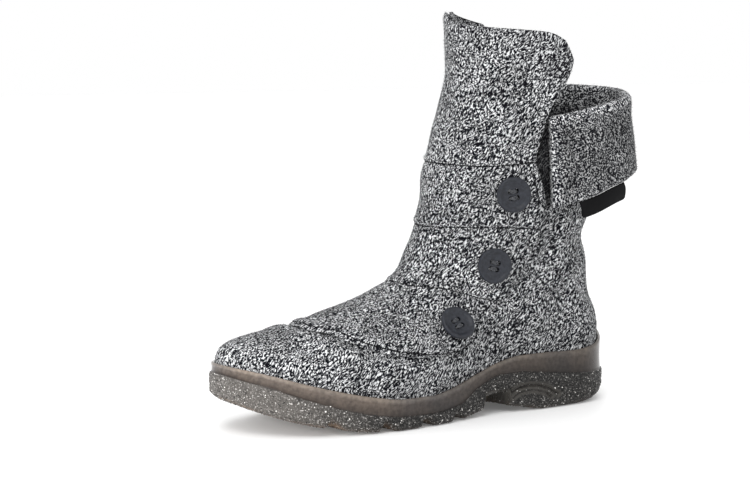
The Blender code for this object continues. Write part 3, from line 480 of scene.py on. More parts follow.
def level_curve(level, turn):
    """One level of the upper's outer form, as places along and across the sole and heights."""
    turn = (np.asarray(turn, dtype=float) + 1) % 2 - 1
    side = np.where(turn >= 0, OUTER, INNER)
    if level < FIRST_ROW_LEVEL:
        plan = outline(turn, UPPER_INSET)
        if level == 0:
            height = side_height(plan[..., 0], "floor") + CLEARANCE
        else:
            height = side_height(plan[..., 0], "lip") + UPPER_OVER_LIP
        return np.stack([plan[..., 0], plan[..., 1], height], -1)
    row = LEVEL_ROWS[level - FIRST_ROW_LEVEL]
    front, front_share, back, back_share, sag, swell, shaft, half, nose_outer, nose_inner, tail = row
    toe_lip = float(side_height(SOLE_LENGTH, "lip"))
    heel_lip = float(side_height(0.0, "lip"))
    front_height = row_height(front_share, toe_lip)
    back_height = row_height(back_share, heel_lip)
    front_along = front * SOLE_LENGTH
    back_along = back * SOLE_LENGTH
    way = (1 + np.cos(math.pi * turn)) / 2
    along = back_along + (front_along - back_along) * way
    nose = np.where(side == OUTER, nose_outer, nose_inner) * SOLE_LENGTH
    ends = rounded((front_along - along) / nose) * rounded((along - back_along) / (tail * SOLE_LENGTH))
    foot = (body_half(along, side) - UPPER_INSET) * swell
    width = (foot * (1 - shaft) + half * SHAFT_WIDTH * shaft) * ends
    across = side * width - axis_shift(along) * (1 - shaft)
    lip_line = heel_lip + (toe_lip - heel_lip) * along / SOLE_LENGTH
    dip = side_height(along, "lip") - lip_line
    height = back_height + (front_height - back_height) * way + sag * dip
    return np.stack([along, across, height], -1)


def form(level, turn):
    """Point of the upper's outer form at any level and turn."""
    level, turn = np.broadcast_arrays(np.asarray(level, dtype=float), np.asarray(turn, dtype=float))
    low = np.clip(np.floor(level).astype(int), 0, LEVEL_COUNT - 2)
    t = (level - low)[..., None]
    first = max(int(low.min()) - 1, 0)
    last = min(int(low.max()) + 2, LEVEL_COUNT - 1)
    curves = np.stack([level_curve(i, turn) for i in range(first, last + 1)])

    def pick(index):
        """Points of the level curves with these numbers."""
        index = np.clip(index, 0, LEVEL_COUNT - 1) - first
        return np.take_along_axis(curves, index[None, ..., None], 0)[0]

    before, start, end, after = pick(low - 1), pick(low), pick(low + 1), pick(low + 2)
    curve = 0.5 * (2 * start + (end - before) * t + (2 * before - 5 * start + 4 * end - after) * t ** 2
                   + (3 * start - before - 3 * end + after) * t ** 3)
    point = np.where((low == 0)[..., None], start + (end - start) * t, curve)
    return world_point(point[..., 0], point[..., 1], point[..., 2])


def outward(level, turn):
    """Unit normal of the upper's outer form."""
    above = form(np.minimum(level + 0.05, LEVEL_COUNT - 1), turn)
    below = form(np.maximum(level - 0.05, 0), turn)
    round_ = form(level, turn + 0.004) - form(level, turn - 0.004)
    normal = np.cross(round_, above - below)
    return normal / np.linalg.norm(normal, axis=-1, keepdims=True)


def flat_outward(level, turn):
    """Unit normal of the outer form laid level."""
    normal = outward(level, turn) * np.array([1.0, 1.0, 0.0])
    return normal / np.linalg.norm(normal, axis=-1, keepdims=True)


TABLE_LEVELS = np.linspace(FIRST_ROW_LEVEL, LEVEL_COUNT - 1, 161)
TABLE_TURNS = np.linspace(-1.0, 1.0, 401)
TABLE_HEIGHTS = form(TABLE_LEVELS[:, None], TABLE_TURNS[None, :])[..., 2]


def level_at(height, turn):
    """Level at which the outer form reaches a height, for arrays of heights and turns."""
    height, turn = np.broadcast_arrays(np.asarray(height, dtype=float), np.asarray(turn, dtype=float))
    place = (turn.ravel() + 1) % 2 / 2 * (len(TABLE_TURNS) - 1)
    i = np.clip(place.astype(int), 0, len(TABLE_TURNS) - 2)
    t = place - i
    heights = TABLE_HEIGHTS[:, i] * (1 - t) + TABLE_HEIGHTS[:, i + 1] * t
    wanted = height.ravel()
    above = np.clip((heights < wanted).sum(axis=0), 1, len(TABLE_LEVELS) - 1)
    each = np.arange(len(wanted))
    low, high = heights[above - 1, each], heights[above, each]
    share = np.clip((wanted - low) / (high - low), 0.0, 1.0)
    level = TABLE_LEVELS[above - 1] + (TABLE_LEVELS[1] - TABLE_LEVELS[0]) * share
    return level.reshape(height.shape)


def locate(along, height, side):
    """Level and turn of the point of the outer form at a place along the sole and a height."""
    levels = np.linspace(1, LEVEL_COUNT - 1, 200)
    turns = np.linspace(0.0, 1.0, 101)
    grid = form(levels[:, None], side * turns[None, :])
    found_turn = np.array([np.interp(ORIGIN_FROM_HEEL - along, row[:, 0], turns) for row in grid])
    found_height = np.array([np.interp(t, turns, row[:, 2]) for t, row in zip(found_turn, grid)])
    level = float(np.interp(height, found_height, levels))
    return level, side * float(np.interp(level, levels, found_turn))


def strip_spot(row, turn):
    """Levels and turns on the tall front, at shares of the way from the slit's foot to the top."""
    begun = ease((row - PANEL_LEAN_START) / (1 - PANEL_LEAN_START))
    leaned = turn * (1 + PANEL_LEAN * begun * np.abs(turn) / SLIT_PLACE)
    foot = form(float(SLIT_LEVEL), leaned)[..., 2]
    top = smooth(TOP_ROWS, turn / SLIT_PLACE, 1) * PANEL_HEIGHT
    return level_at(foot + (top - foot) * row, leaned), leaned


def fold_height(turn):
    """Height of the cuff's fold at turns behind the slits."""
    start = SLIT_PLACE + SLIT_SHARE
    turn = np.asarray(turn, dtype=float)
    forward = (np.abs(turn) - start) / (1 - start) / 2
    return smooth(FOLD_ROWS, np.where(turn > 0, forward, 1 - forward), 1) * PANEL_HEIGHT


def cuff_drop(turn):
    """How far the cuff hangs below its fold at turns behind the slits."""
    start = SLIT_PLACE + SLIT_SHARE
    return smooth(DROP_TABLE, (np.abs(turn) - start) / (1 - start), 1) * CUFF_DROP


print("top of the form, mm:", round(float(form(LEVEL_COUNT - 1.0, 0.0)[2]) * 1000, 1))

# %% [markdown]
# ## Creases placed one by one
# Wool knit is thick and soft: it folds in wide shallow troughs with a low ridge beside them, and never in
# sharp lines. Each crease here is a short line on one side of the boot, given by places along the sole and
# heights in millimetres, with a width and a depth. A point of the knit is pushed in near the line and out
# beside it.

# %% Creases
CREASES = (
    # side, width mm, depth mm, line of (along, height) in mm
    (OUTER, 6.0, 1.6, ((57, 112), (60, 97), (66, 84), (77, 68), (92, 53), (108, 44))),
    (OUTER, 8.0, 1.5, ((20, 104), (38, 100), (58, 98))),
    (OUTER, 7.0, 0.9, ((14, 66), (34, 60), (58, 63))),
    (OUTER, 3.4, 1.5, ((212, 61), (205, 55.5), (200, 52), (187, 45), (172, 42), (150, 40))),
    (OUTER, 7.0, 1.0, ((232, 50), (219, 46), (203, 40), (190, 34))),
    (OUTER, 9.0, 1.1, ((158, 74), (146, 62), (140, 52))),
    (OUTER, 6.0, 0.8, ((128, 92), (112, 86), (98, 80))),
    (OUTER, 8.0, 0.8, ((119, 128), (104, 130), (84, 134))),
    (INNER, 8.0, 1.5, ((150, 88), (132, 80), (112, 74), (90, 72))),
    (INNER, 8.0, 1.2, ((18, 98), (42, 94), (70, 97))),
    (INNER, 6.0, 1.0, ((210, 58), (196, 52), (180, 44))),
    (INNER, 9.0, 1.0, ((110, 60), (84, 56), (58, 60))),
    (INNER, 8.0, 0.9, ((118, 130), (98, 126), (74, 130))),
)
CUFF_CREASES = (
    # side, width mm, depth mm, line of (along, height) in mm
    (OUTER, 6.0, 1.1, ((52, 176), (47, 158), (46, 140), (50, 128))),
    (OUTER, 9.0, 0.9, ((14, 186), (20, 166), (24, 146))),
    (OUTER, 8.0, 0.8, ((-14, 180), (-8, 160), (-2, 146))),
    (INNER, 8.0, 1.0, ((40, 176), (34, 156), (30, 140))),
    (INNER, 9.0, 0.8, ((0, 184), (4, 164), (2, 148))),
)
RIDGE_SHARE = 0.45
RIDGE_PLACE = 1.9
SIDE_FADE_MM = 8.0


def line_distance(points, side, line):
    """Distance in mm of points from a line drawn on one side of the boot, and which side of it they are."""
    along = (ORIGIN_FROM_HEEL - points[..., 0]) * 1000
    height = points[..., 2] * 1000
    best = np.full(along.shape, 1e6)
    above = np.zeros(along.shape)
    for (a0, h0), (a1, h1) in zip(line[:-1], line[1:]):
        way = np.array([a1 - a0, h1 - h0], dtype=float)
        length = np.hypot(*way)
        t = np.clip(((along - a0) * way[0] + (height - h0) * way[1]) / length ** 2, 0, 1)
        distance = np.hypot(along - a0 - way[0] * t, height - h0 - way[1] * t)
        nearer = distance < best
        best = np.where(nearer, distance, best)
        cross = (along - a0) * way[1] - (height - h0) * way[0]
        above = np.where(nearer, np.sign(cross), above)
    across = -points[..., 1] * side * 1000
    return best, above, ease(across / SIDE_FADE_MM)


def creased(points, creases):
    """How far the knit moves out (in metres) at each point."""
    move = np.zeros(points.shape[:-1])
    for side, width, depth, line in creases:
        distance, above, on_side = line_distance(points, side, line)
        trough = -bell(distance, width)
        ridge = RIDGE_SHARE * bell(distance - RIDGE_PLACE * width, width) * (above > 0)
        move += depth * (trough + ridge) * on_side / 1000
    return move


WAVE_WAYS = ((1.0, 0.3, 0.6), (-0.5, 0.8, 0.9), (0.7, -0.9, 1.2), (0.2, 1.1, -1.4))
WAVE_START = 1.7


def soft_waves(points, size, depth):
    """Low uneven swell of hand-soft cloth, from a few crossed waves of fixed direction."""
    total = np.zeros(points.shape[:-1])
    for k, way in enumerate(WAVE_WAYS):
        total += np.sin((points @ np.array(way)) * 2 * math.pi / size + WAVE_START * k)
    return total * depth / len(WAVE_WAYS)


print("creases:", len(CREASES) + len(CUFF_CREASES))

# %% [markdown]
# ## Fine meshes from grids
# Every soft piece is a grid of points that is given an outer and an inner skin and closed round its rim. The
# rim is rounded by pulling both skins together over the last millimetres, as a turned edge of knit is.


# %% Grid helpers
def add_object(name, points, faces, finish):
    """Object at the origin with its place in its mesh, smooth shaded."""
    mesh = bpy.data.meshes.new(name)
    mesh.from_pydata(np.asarray(points).tolist(), [], faces)
    mesh.materials.append(finish)
    mesh.shade_smooth()
    made = bpy.data.objects.new(name, mesh)
    scene.collection.objects.link(made)
    return made


def tidy_normals(made):
    """Merges doubled points and turns all faces outwards."""
    work = bmesh.new()
    work.from_mesh(made.data)
    bmesh.ops.remove_doubles(work, verts=work.verts, dist=1e-6)
    bmesh.ops.recalc_face_normals(work, faces=work.faces)
    work.to_mesh(made.data)
    work.free()
    return made


def grid_faces(ids, closed=False):
    """Faces between neighbouring rows and columns of an array of point numbers."""
    if closed:
        ids = np.concatenate([ids, ids[:, :1]], axis=1)
    square = np.stack([ids[:-1, :-1], ids[:-1, 1:], ids[1:, 1:], ids[1:, :-1]], -1).reshape(-1, 4)
    return [tuple(row) for row in square.tolist()]


def set_attribute(made, name, values):
    """Writes one number for each point, for a material to read."""
    layer = made.data.attributes.new(name, "FLOAT", "POINT")
    layer.data.foreach_set("value", np.asarray(values, dtype=np.float32))


def refine(places, parts):
    """Adds evenly spaced places between given ones."""
    fine = [places[0]]
    for start, end in zip(places[:-1], places[1:]):
        fine.extend(start + (end - start) * k / parts for k in range(1, parts + 1))
    return np.array(fine)


def two_skins(name, outer, inner, faces, finish):
    """Closed wall from two skins of points that share one set of faces, with its rim faces."""
    count = len(outer)
    edges = {}
    for face in faces:
        for start, end in zip(face, face[1:] + face[:1]):
            if (end, start) in edges:
                del edges[(end, start)]
            else:
                edges[(start, end)] = True
    solid = list(faces)
    solid += [tuple(i + count for i in reversed(face)) for face in faces]
    solid += [(end, start, start + count, end + count) for start, end in edges]
    return add_object(name, np.concatenate([outer, inner]), solid, finish)


plain_finish, _, _ = new_material("to_be_dressed", 0.9)
print("helpers ready")

# %% [markdown]
# ## Value noise
# Crumb and grit need the same uneven pattern on every run. This noise gives each corner of a cubic lattice a
# fixed number from its own place, and blends between the corners.


# %% Noise on points
PLACE_PRIMES = (73856093, 19349663, 83492791)
SEED_PRIME = 2654435761
MIX_PRIMES = (2246822519, 3266489917)
ALL_BITS = 0xFFFFFFFF


def lumps(points, size, seed):
    """Smooth uneven numbers from -1 to 1 with lumps of about the given size."""
    cells = np.asarray(points) / size
    corner = np.floor(cells).astype(np.int64)
    blend = ease(cells - corner)
    total = np.zeros(cells.shape[:-1])
    for dx in (0, 1):
        for dy in (0, 1):
            for dz in (0, 1):
                key = ((corner[..., 0] + dx) * PLACE_PRIMES[0]) ^ ((corner[..., 1] + dy) * PLACE_PRIMES[1])
                key = (key ^ ((corner[..., 2] + dz) * PLACE_PRIMES[2]) ^ (seed * SEED_PRIME)) & ALL_BITS
                key = ((key ^ (key >> 15)) * MIX_PRIMES[0]) & ALL_BITS
                key = ((key ^ (key >> 13)) * MIX_PRIMES[1]) & ALL_BITS
                value = ((key ^ (key >> 16)) & 0xFFFF) / 32767.5 - 1
                wx = blend[..., 0] if dx else 1 - blend[..., 0]
                wy = blend[..., 1] if dy else 1 - blend[..., 1]
                wz = blend[..., 2] if dz else 1 - blend[..., 2]
                total += value * wx * wy * wz
    return total


print("noise at one point:", round(float(lumps(np.array([[0.01, 0.02, 0.03]]), 0.002, 1)[0]), 3))

# %% [markdown]
# ## Upper
# The upper is one hollow wall of knit: vamp and quarters below, the tall front that the panel covers, and the
# back of the shaft, which turns out and down as the cuff. It is made of three joined grids, foot, front and
# back, that share their edge points, with about two millimetres between points so that the creases read.

# %% Upper
FRONT_COLUMNS = 12
BACK_COLUMNS = 15
COLUMN_PARTS = 5
LEVEL_PARTS = 5
STRIP_ROWS = 44
SHAFT_ROWS = 24
FOLD_ROWS_FINE = 14
DROP_ROWS = 26
THIN_WALL_START = 9
THIN_WALL_LEVELS = 5
THIN_WALL_REACH = 0.8
HELD_START = 6.0
HELD_LEVELS = 3.0
HELD_REACH = 0.75
HELD_FADE = 0.2
FREE_START = 1.6
FREE_LEVELS = 1.8
KNIT_WAVES = (0.055, 0.0007)

front_half = refine([SLIT_PLACE * i / FRONT_COLUMNS for i in range(FRONT_COLUMNS + 1)], COLUMN_PARTS)
back_start = SLIT_PLACE + SLIT_SHARE
back_half = refine([back_start + (1 - back_start) * i / BACK_COLUMNS for i in range(BACK_COLUMNS + 1)],
                   COLUMN_PARTS)
front_turns = np.concatenate([-front_half[:0:-1], front_half])
back_turns = np.concatenate([back_half, 2 - back_half[-2::-1]])
ring_turns = np.concatenate([front_turns, back_turns])


def wall_at(level, turn):
    """Thickness of the upper's wall: thinner where the front panel lies over it."""
    above = ease((level - THIN_WALL_START) / THIN_WALL_LEVELS)
    aside = ease((np.abs(turn) - SLIT_PLACE * THIN_WALL_REACH) / (SLIT_PLACE * (1 - THIN_WALL_REACH)))
    return WALL + (LINING_WALL - WALL) * above * (1 - aside)


def under_panel(level, turn):
    """Share, 1 where the panel covers the upper, by which creases and swell are held back."""
    above = ease((level - HELD_START) / HELD_LEVELS)
    aside = ease((np.abs(turn) - SLIT_PLACE * HELD_REACH) / (SLIT_PLACE * HELD_FADE))
    return above * (1 - aside)


VAMP_SEAM = (
    # along, height in mm
    (214, 63.0), (212.6, 59.6), (205.5, 56.3), (201.1, 52.8), (186.8, 45.8), (171.6, 42.6), (151, 41.0),
)
VAMP_SWELL = 0.0019
VAMP_TOP_LEVEL = 12
ROLL_START_MM = 0.4
ROLL_RISE_MM = 3.2
ROLL_END_MM = 4.5
ROLL_FALL_MM = 13.0


def vamp_swell(point):
    """Share, 1 on the roll of the vamp just outside the panel's sewn edge, 0 at the edge and under it."""
    share = np.zeros(point.shape[:-1])
    for side in (OUTER, INNER):
        distance, above, on_side = line_distance(point, side, VAMP_SEAM)
        roll = ease((distance - ROLL_START_MM) / ROLL_RISE_MM)
        roll = roll * (1 - ease((distance - ROLL_END_MM) / ROLL_FALL_MM))
        share += roll * (above < 0) * np.maximum(on_side, 0.0)
    return share


def knit_skins(level, turn, wall, loose=1.0):
    """Outer and inner points of the knit at levels and turns, with its creases."""
    wrapped = (turn + 1) % 2 - 1
    point = form(level, turn)
    normal = np.where((level <= 1)[..., None], flat_outward(level, turn), outward(level, turn))
    free = ease((level - FREE_START) / FREE_LEVELS)
    hold = free * (1 - under_panel(level, wrapped)) * loose
    move = (creased(point, CREASES) + soft_waves(point, *KNIT_WAVES)) * hold
    move = move + VAMP_SWELL * vamp_swell(point) * free * (level < VAMP_TOP_LEVEL)
    outer = point + normal * move[..., None]
    return outer, outer - normal * np.broadcast_to(wall, move.shape)[..., None]


foot_levels = np.arange(0, SLIT_LEVEL * LEVEL_PARTS + 1) / LEVEL_PARTS
level_grid, turn_grid = np.meshgrid(foot_levels, ring_turns, indexing="ij")
wrapped_grid = (turn_grid + 1) % 2 - 1
foot_outer, foot_inner = knit_skins(level_grid, turn_grid, wall_at(level_grid, wrapped_grid))
strip_shares = np.arange(1, STRIP_ROWS + 1) / STRIP_ROWS
share_grid, front_grid = np.meshgrid(strip_shares, front_turns, indexing="ij")
strip_levels, strip_turns = strip_spot(share_grid, front_grid)
strip_outer, strip_inner = knit_skins(strip_levels, strip_turns, LINING_WALL, 0.0)
print("points of the foot and of the tall front:", foot_outer.shape[:2], strip_outer.shape[:2])

# %% Shaft and cuff
back_wrapped = (back_turns + 1) % 2 - 1
fold_top = fold_height(back_wrapped)
shaft_foot = form(float(SLIT_LEVEL), back_turns)[:, 2]
shaft_shares = np.arange(1, SHAFT_ROWS)[:, None] / SHAFT_ROWS
shaft_levels = level_at(shaft_foot + (fold_top - shaft_foot) * shaft_shares, back_wrapped[None, :])
shaft_turns = np.broadcast_to(back_turns, shaft_levels.shape)
shaft_outer, shaft_inner = knit_skins(shaft_levels, shaft_turns, WALL, 0.0)

top_level = level_at(fold_top, back_wrapped)
fold_out = flat_outward(top_level, back_turns)
fold_centre = form(top_level, back_turns) + fold_out * CUFF_SLACK / 2
CUFF_NEAR = CUFF_SLACK / 2
CUFF_FAR = CUFF_SLACK / 2 + WALL
UP = np.array([0.0, 0.0, 1.0])
full_drop = cuff_drop(back_wrapped)[:, None]
cuff_near, cuff_far = [], []
for r in range(FOLD_ROWS_FINE + 1):
    bend = math.pi * r / FOLD_ROWS_FINE
    way = -math.cos(bend) * fold_out + math.sin(bend) * UP
    cuff_near.append(fold_centre + way * CUFF_NEAR)
    cuff_far.append(fold_centre + way * CUFF_FAR)
HEM_ROUND = 0.0022
HEM_PINCH = 0.40
CUFF_FREE = 0.010
CUFF_WAVES = (0.045, 0.0006)
EDGE_ROLL = 0.0016
EDGE_ROLL_PLACE = 0.035
EDGE_ROLL_WIDTH = 0.022
for r in range(1, DROP_ROWS + 1):
    drop = full_drop * r / DROP_ROWS
    to_hem = full_drop - drop
    pinch = (1 - rounded(to_hem / HEM_ROUND)) * WALL * HEM_PINCH
    shift = fold_out * CUFF_FLARE * drop - UP * drop
    middle = fold_centre + shift + fold_out * (CUFF_NEAR + CUFF_FAR) / 2
    loose = ease(drop[:, 0] / CUFF_FREE)
    move = (creased(middle, CUFF_CREASES) + soft_waves(middle, *CUFF_WAVES)) * loose
    roll = np.minimum(np.abs(back_turns - back_turns[0]), np.abs(back_turns[-1] - back_turns))
    move = move + EDGE_ROLL * bell(roll - EDGE_ROLL_PLACE, EDGE_ROLL_WIDTH) * loose
    near = fold_centre + shift + fold_out * (CUFF_NEAR + pinch)
    far = fold_centre + shift + fold_out * (CUFF_FAR - pinch + move[:, None])
    cuff_near.append(near)
    cuff_far.append(far)
cuff_near = np.array(cuff_near)
cuff_far = np.array(cuff_far)
slit_steps = np.linalg.norm(np.diff(fold_centre, axis=0, prepend=fold_centre[:1]), axis=-1)
along_fold = np.cumsum(slit_steps) * 1000
from_slit_mm = np.minimum(along_fold, along_fold[-1] - along_fold)
back_outer = np.concatenate([shaft_outer, cuff_near])
back_inner = np.concatenate([shaft_inner, cuff_far])
print("points of the shaft and cuff:", back_outer.shape[:2])

# %% Join the upper's grids
foot_ids = np.arange(foot_outer.shape[0] * foot_outer.shape[1]).reshape(foot_outer.shape[:2])
strip_ids = np.arange(strip_outer.shape[0] * strip_outer.shape[1]).reshape(strip_outer.shape[:2])
strip_ids += foot_ids.size
back_ids = np.arange(back_outer.shape[0] * back_outer.shape[1]).reshape(back_outer.shape[:2])
back_ids += foot_ids.size + strip_ids.size
front_count = len(front_turns)
upper_faces = grid_faces(foot_ids, closed=True)
upper_faces += grid_faces(np.concatenate([foot_ids[-1:, :front_count], strip_ids]))
upper_faces += grid_faces(np.concatenate([foot_ids[-1:, front_count:], back_ids]))
upper_outer = np.concatenate([g.reshape(-1, 3) for g in (foot_outer, strip_outer, back_outer)])
upper_inner = np.concatenate([g.reshape(-1, 3) for g in (foot_inner, strip_inner, back_inner)])
upper = two_skins("knit_upper", upper_outer, upper_inner, upper_faces, plain_finish)
felted = np.zeros(len(upper.data.vertices))
felted[len(upper_outer):] = 1.0
set_attribute(upper, "felted", felted)
hem_line_mm = cuff_near[-1, :, 2] * 1000
# The attribute dark is painted shade, mixed towards near black in the knit's finish.
HEM_SHADE = 7.0
HEM_DARK = 0.85
SLOT_LOW = 136.0
SLOT_HIGH = 163.0
SLOT_FADE = 6.0
SLIT_EDGE = 0.90
SLIT_EDGE_FADE = 0.06
INSIDE_DARK = 0.75
INSIDE_FADE = 0.03
SHAFT_DARK = 0.9
SHAFT_FADE = 0.016
CUFF_SHADE_AND_TONE = 0.22
SLIT_SHADE = 0.45
SLOT_SHADE = 0.55
# Where the painted highlight lies: on the cuff's rolled fold, beside the slits and on the hem.
HIGHLIGHT_FOLD_PLACE = 0.75
HIGHLIGHT_FOLD_ROWS = 4.0
HIGHLIGHT_SLIT_MM = 2.5
HIGHLIGHT_SLIT_WIDTH_MM = 2.6
HIGHLIGHT_HEM = 0.6
HIGHLIGHT_HEM_ROWS = 1.6


def below_hem(points):
    """Share of painted shadow: 1 behind the cuff, fading out just under its hem."""
    return HEM_DARK * ease((points[..., 2] * 1000 - hem_line_mm + HEM_SHADE) / HEM_SHADE)


# Painted shadow of the cuff on the shaft and on the back of the foot, ending just under the hem.
dark_back = np.zeros(back_outer.shape[:2])
dark_back[:SHAFT_ROWS - 1] = below_hem(shaft_outer)
dark_foot = np.zeros(foot_outer.shape[:2])
dark_foot[:, front_count:] = below_hem(foot_outer[:, front_count:])
# Painted shade in the slit beside the tall front, deepest in the open slot between the panel and the cuff.
strip_mm = strip_outer[..., 2] * 1000
slot = ease((strip_mm - SLOT_LOW) / SLOT_FADE) * (1 - ease((strip_mm - SLOT_HIGH) / SLOT_FADE))
slit_shade = SLIT_SHADE + SLOT_SHADE * slot
dark_strip = ease((np.abs(front_turns) / SLIT_PLACE - SLIT_EDGE) / SLIT_EDGE_FADE) * slit_shade
dark_outer = np.concatenate([dark_foot.ravel(), dark_strip.ravel(), dark_back.ravel()])
# Painted shade on the inner skin, inside the foot and the tall front.
dark_foot = INSIDE_DARK * ease((foot_inner[..., 2] - INSIDE_FADE) / INSIDE_FADE)
below_top = strip_outer[-1:, :, 2] - strip_outer[..., 2]
dark_strip = INSIDE_DARK * ease((below_top - INSIDE_FADE) / INSIDE_FADE)
dark_back = np.zeros(back_outer.shape[:2])
# Painted shade inside the shaft, deeper below the fold.
dark_back[:SHAFT_ROWS - 1] = SHAFT_DARK * ease((fold_top - shaft_inner[..., 2] - 0.001) / SHAFT_FADE)
# Painted shade over the cuff's felted side, which also stands for that side's own darker tone.
dark_back[SHAFT_ROWS - 1 + FOLD_ROWS_FINE:] = CUFF_SHADE_AND_TONE
dark_inner = np.concatenate([dark_foot.ravel(), dark_strip.ravel(), dark_back.ravel()])
# Painted highlight: paler wool where the light falls on the cuff's rolled fold, its front edges beside the
# slits and its hem.
highlight_back = np.zeros(back_outer.shape[:2])
fold_place = np.arange(FOLD_ROWS_FINE + DROP_ROWS + 1)[:, None]
highlight_fold = bell(fold_place - FOLD_ROWS_FINE * HIGHLIGHT_FOLD_PLACE, HIGHLIGHT_FOLD_ROWS)
highlight_slit = bell(from_slit_mm - HIGHLIGHT_SLIT_MM, HIGHLIGHT_SLIT_WIDTH_MM)
highlight_hem = HIGHLIGHT_HEM * bell(fold_place - FOLD_ROWS_FINE - DROP_ROWS, HIGHLIGHT_HEM_ROWS)
highlight_back[SHAFT_ROWS - 1:] = np.maximum(highlight_fold, np.maximum(highlight_slit, highlight_hem))
painted_highlight = np.concatenate([np.zeros(foot_outer[..., 0].size + strip_outer[..., 0].size), highlight_back.ravel()])
set_attribute(upper, "dark", np.concatenate([dark_outer, dark_inner]))
set_attribute(upper, "painted_highlight", np.concatenate([np.zeros(len(upper_outer)), painted_highlight]))
tidy_normals(upper)
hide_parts("upper")
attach(upper, "root")
print("upper, faces:", len(upper.data.polygons))

# %% [markdown]
# ## Front panel
# The panel is a second layer of knit over the instep and shin. It is sewn to the vamp along its lower edge,
# crossed by three sewn tucks, and its outer edge is a free flap that the buttons hold down. Its grid runs
# from the lower seam up to the top edge, and the tucks are shallow grooves with a low swell above them.

# %% Front panel
PANEL_LOW_ROWS = 104
PANEL_HIGH_ROWS = 112
PANEL_COLUMNS = 50
EDGE_ROUND = 0.0026
SEAM_PRESS = 0.0060
PRESSED_GAP = 0.0004
TUCKS = (
    # name, line of (along, height) in mm
    ("shin_tuck", ((135, 151.5), (118, 151.3), (102, 150.1), (91, 151.2), (76, 152.8), (55, 155.0))),
    ("ankle_tuck", ((145, 112.5), (130, 113.0), (110, 114.2), (86, 113.6), (55, 111.0))),
    ("instep_tuck", (
        (160, 81.5), (151, 80.9), (145, 77.8), (128, 77.0), (118, 74.3), (107, 71.3), (90, 68.0))),
)
TUCK_SHAPE = (
    # rise mm, place above the line mm, width mm
    (-1.15, 0.0, 0.9),
    (0.75, 2.4, 1.7),
    (-0.35, -3.5, 3.0),
)
RIM_SWELL = 0.0005
RIM_SWELL_PLACE = 0.005
RIM_SWELL_WIDTH = 0.003
PANEL_FREE = 0.012
PANEL_CREASE_MOST = 0.0009
PANEL_WAVES = (0.06, 0.0005)
PRESSED_THINNER = 0.45
PRESSED_DEEPER = 0.25
SWELL_LIFT = 0.6
SWELL_FACE = 0.4


def edge_spots(rows, side):
    """Level and turn at each row of an edge table."""
    return [(row[0], *locate(row[1] * SOLE_LENGTH, row[2] * INSTEP_HEIGHT, side)) for row in rows]


ridge_levels = np.linspace(1, LEVEL_COUNT - 1, 200)
ridge_places = form(ridge_levels, np.zeros(200))[:, 0]
ridge_along = PANEL_SEAM_ROWS[0][1] * SOLE_LENGTH
ridge_foot = float(np.interp(ORIGIN_FROM_HEEL - ridge_along, ridge_places, ridge_levels))
half_shares = np.concatenate([np.linspace(0, 0.975, PANEL_COLUMNS), [0.985, 0.993, 0.998, 1.0]])
column_shares = np.concatenate([-half_shares[:0:-1], half_shares])
low_rows = np.concatenate([[0.0, 0.003, 0.008, 0.016], np.linspace(0.025, 1.0, PANEL_LOW_ROWS)])
high_rows = np.concatenate([np.linspace(0, 0.975, PANEL_HIGH_ROWS)[1:], [0.984, 0.992, 0.997, 1.0]])
panel_levels = np.zeros((len(low_rows) + len(high_rows), len(column_shares)))
panel_turns = np.zeros_like(panel_levels)
for side in (OUTER, INNER):
    seam_line = [(0.0, ridge_foot, 0.0)] + edge_spots(PANEL_SEAM_ROWS[1:], side)
    flap_line = edge_spots(FLAP_ROWS, side) + [(1.0, float(SLIT_LEVEL), side * SLIT_PLACE)]
    picked = np.where(column_shares * side >= 0)[0]
    over = np.abs(column_shares[picked])[None, :]
    up = low_rows[:, None]
    for column, store in ((1, panel_levels), (2, panel_turns)):
        foot_value, edge_value = seam_line[0][column], flap_line[0][column]
        top_value = float(SLIT_LEVEL) if column == 1 else 0.0
        top = np.full(over.shape, float(SLIT_LEVEL)) if column == 1 else side * SLIT_PLACE * over
        ruled = smooth(seam_line, over, column) * (1 - up) + top * up
        edge = smooth(flap_line, up, column)
        sides = (foot_value + (top_value - foot_value) * up) * (1 - over) + edge * over
        corners = (foot_value * (1 - over) + edge_value * over) * (1 - up)
        corners = corners + (top_value * (1 - over) + flap_line[-1][column] * over) * up
        store[:len(low_rows), picked] = ruled + sides - corners
row_grid, column_grid = np.meshgrid(high_rows, column_shares * SLIT_PLACE, indexing="ij")
panel_levels[len(low_rows):], panel_turns[len(low_rows):] = strip_spot(row_grid, column_grid)
panel_middle = form(panel_levels, panel_turns)
panel_normal = outward(panel_levels, panel_turns)
print("points of the panel:", panel_middle.shape[:2])

# %% Panel skins
def edge_distance(points):
    """Distance of each grid point from the grid's rim, along the nearest row or column."""
    down = np.cumsum(np.linalg.norm(np.diff(points, axis=0, prepend=points[:1]), axis=-1), axis=0)
    round_ = np.cumsum(np.linalg.norm(np.diff(points, axis=1, prepend=points[:, :1]), axis=-1), axis=1)
    return np.minimum.reduce([down, down[-1:] - down, round_, round_[:, -1:] - round_])


def tuck_distance(points, line):
    """How far above a tuck's line points lie, in mm."""
    along = (ORIGIN_FROM_HEEL - points[..., 0]) * 1000
    places, heights = zip(*sorted(line))
    return points[..., 2] * 1000 - np.interp(along, places, heights)


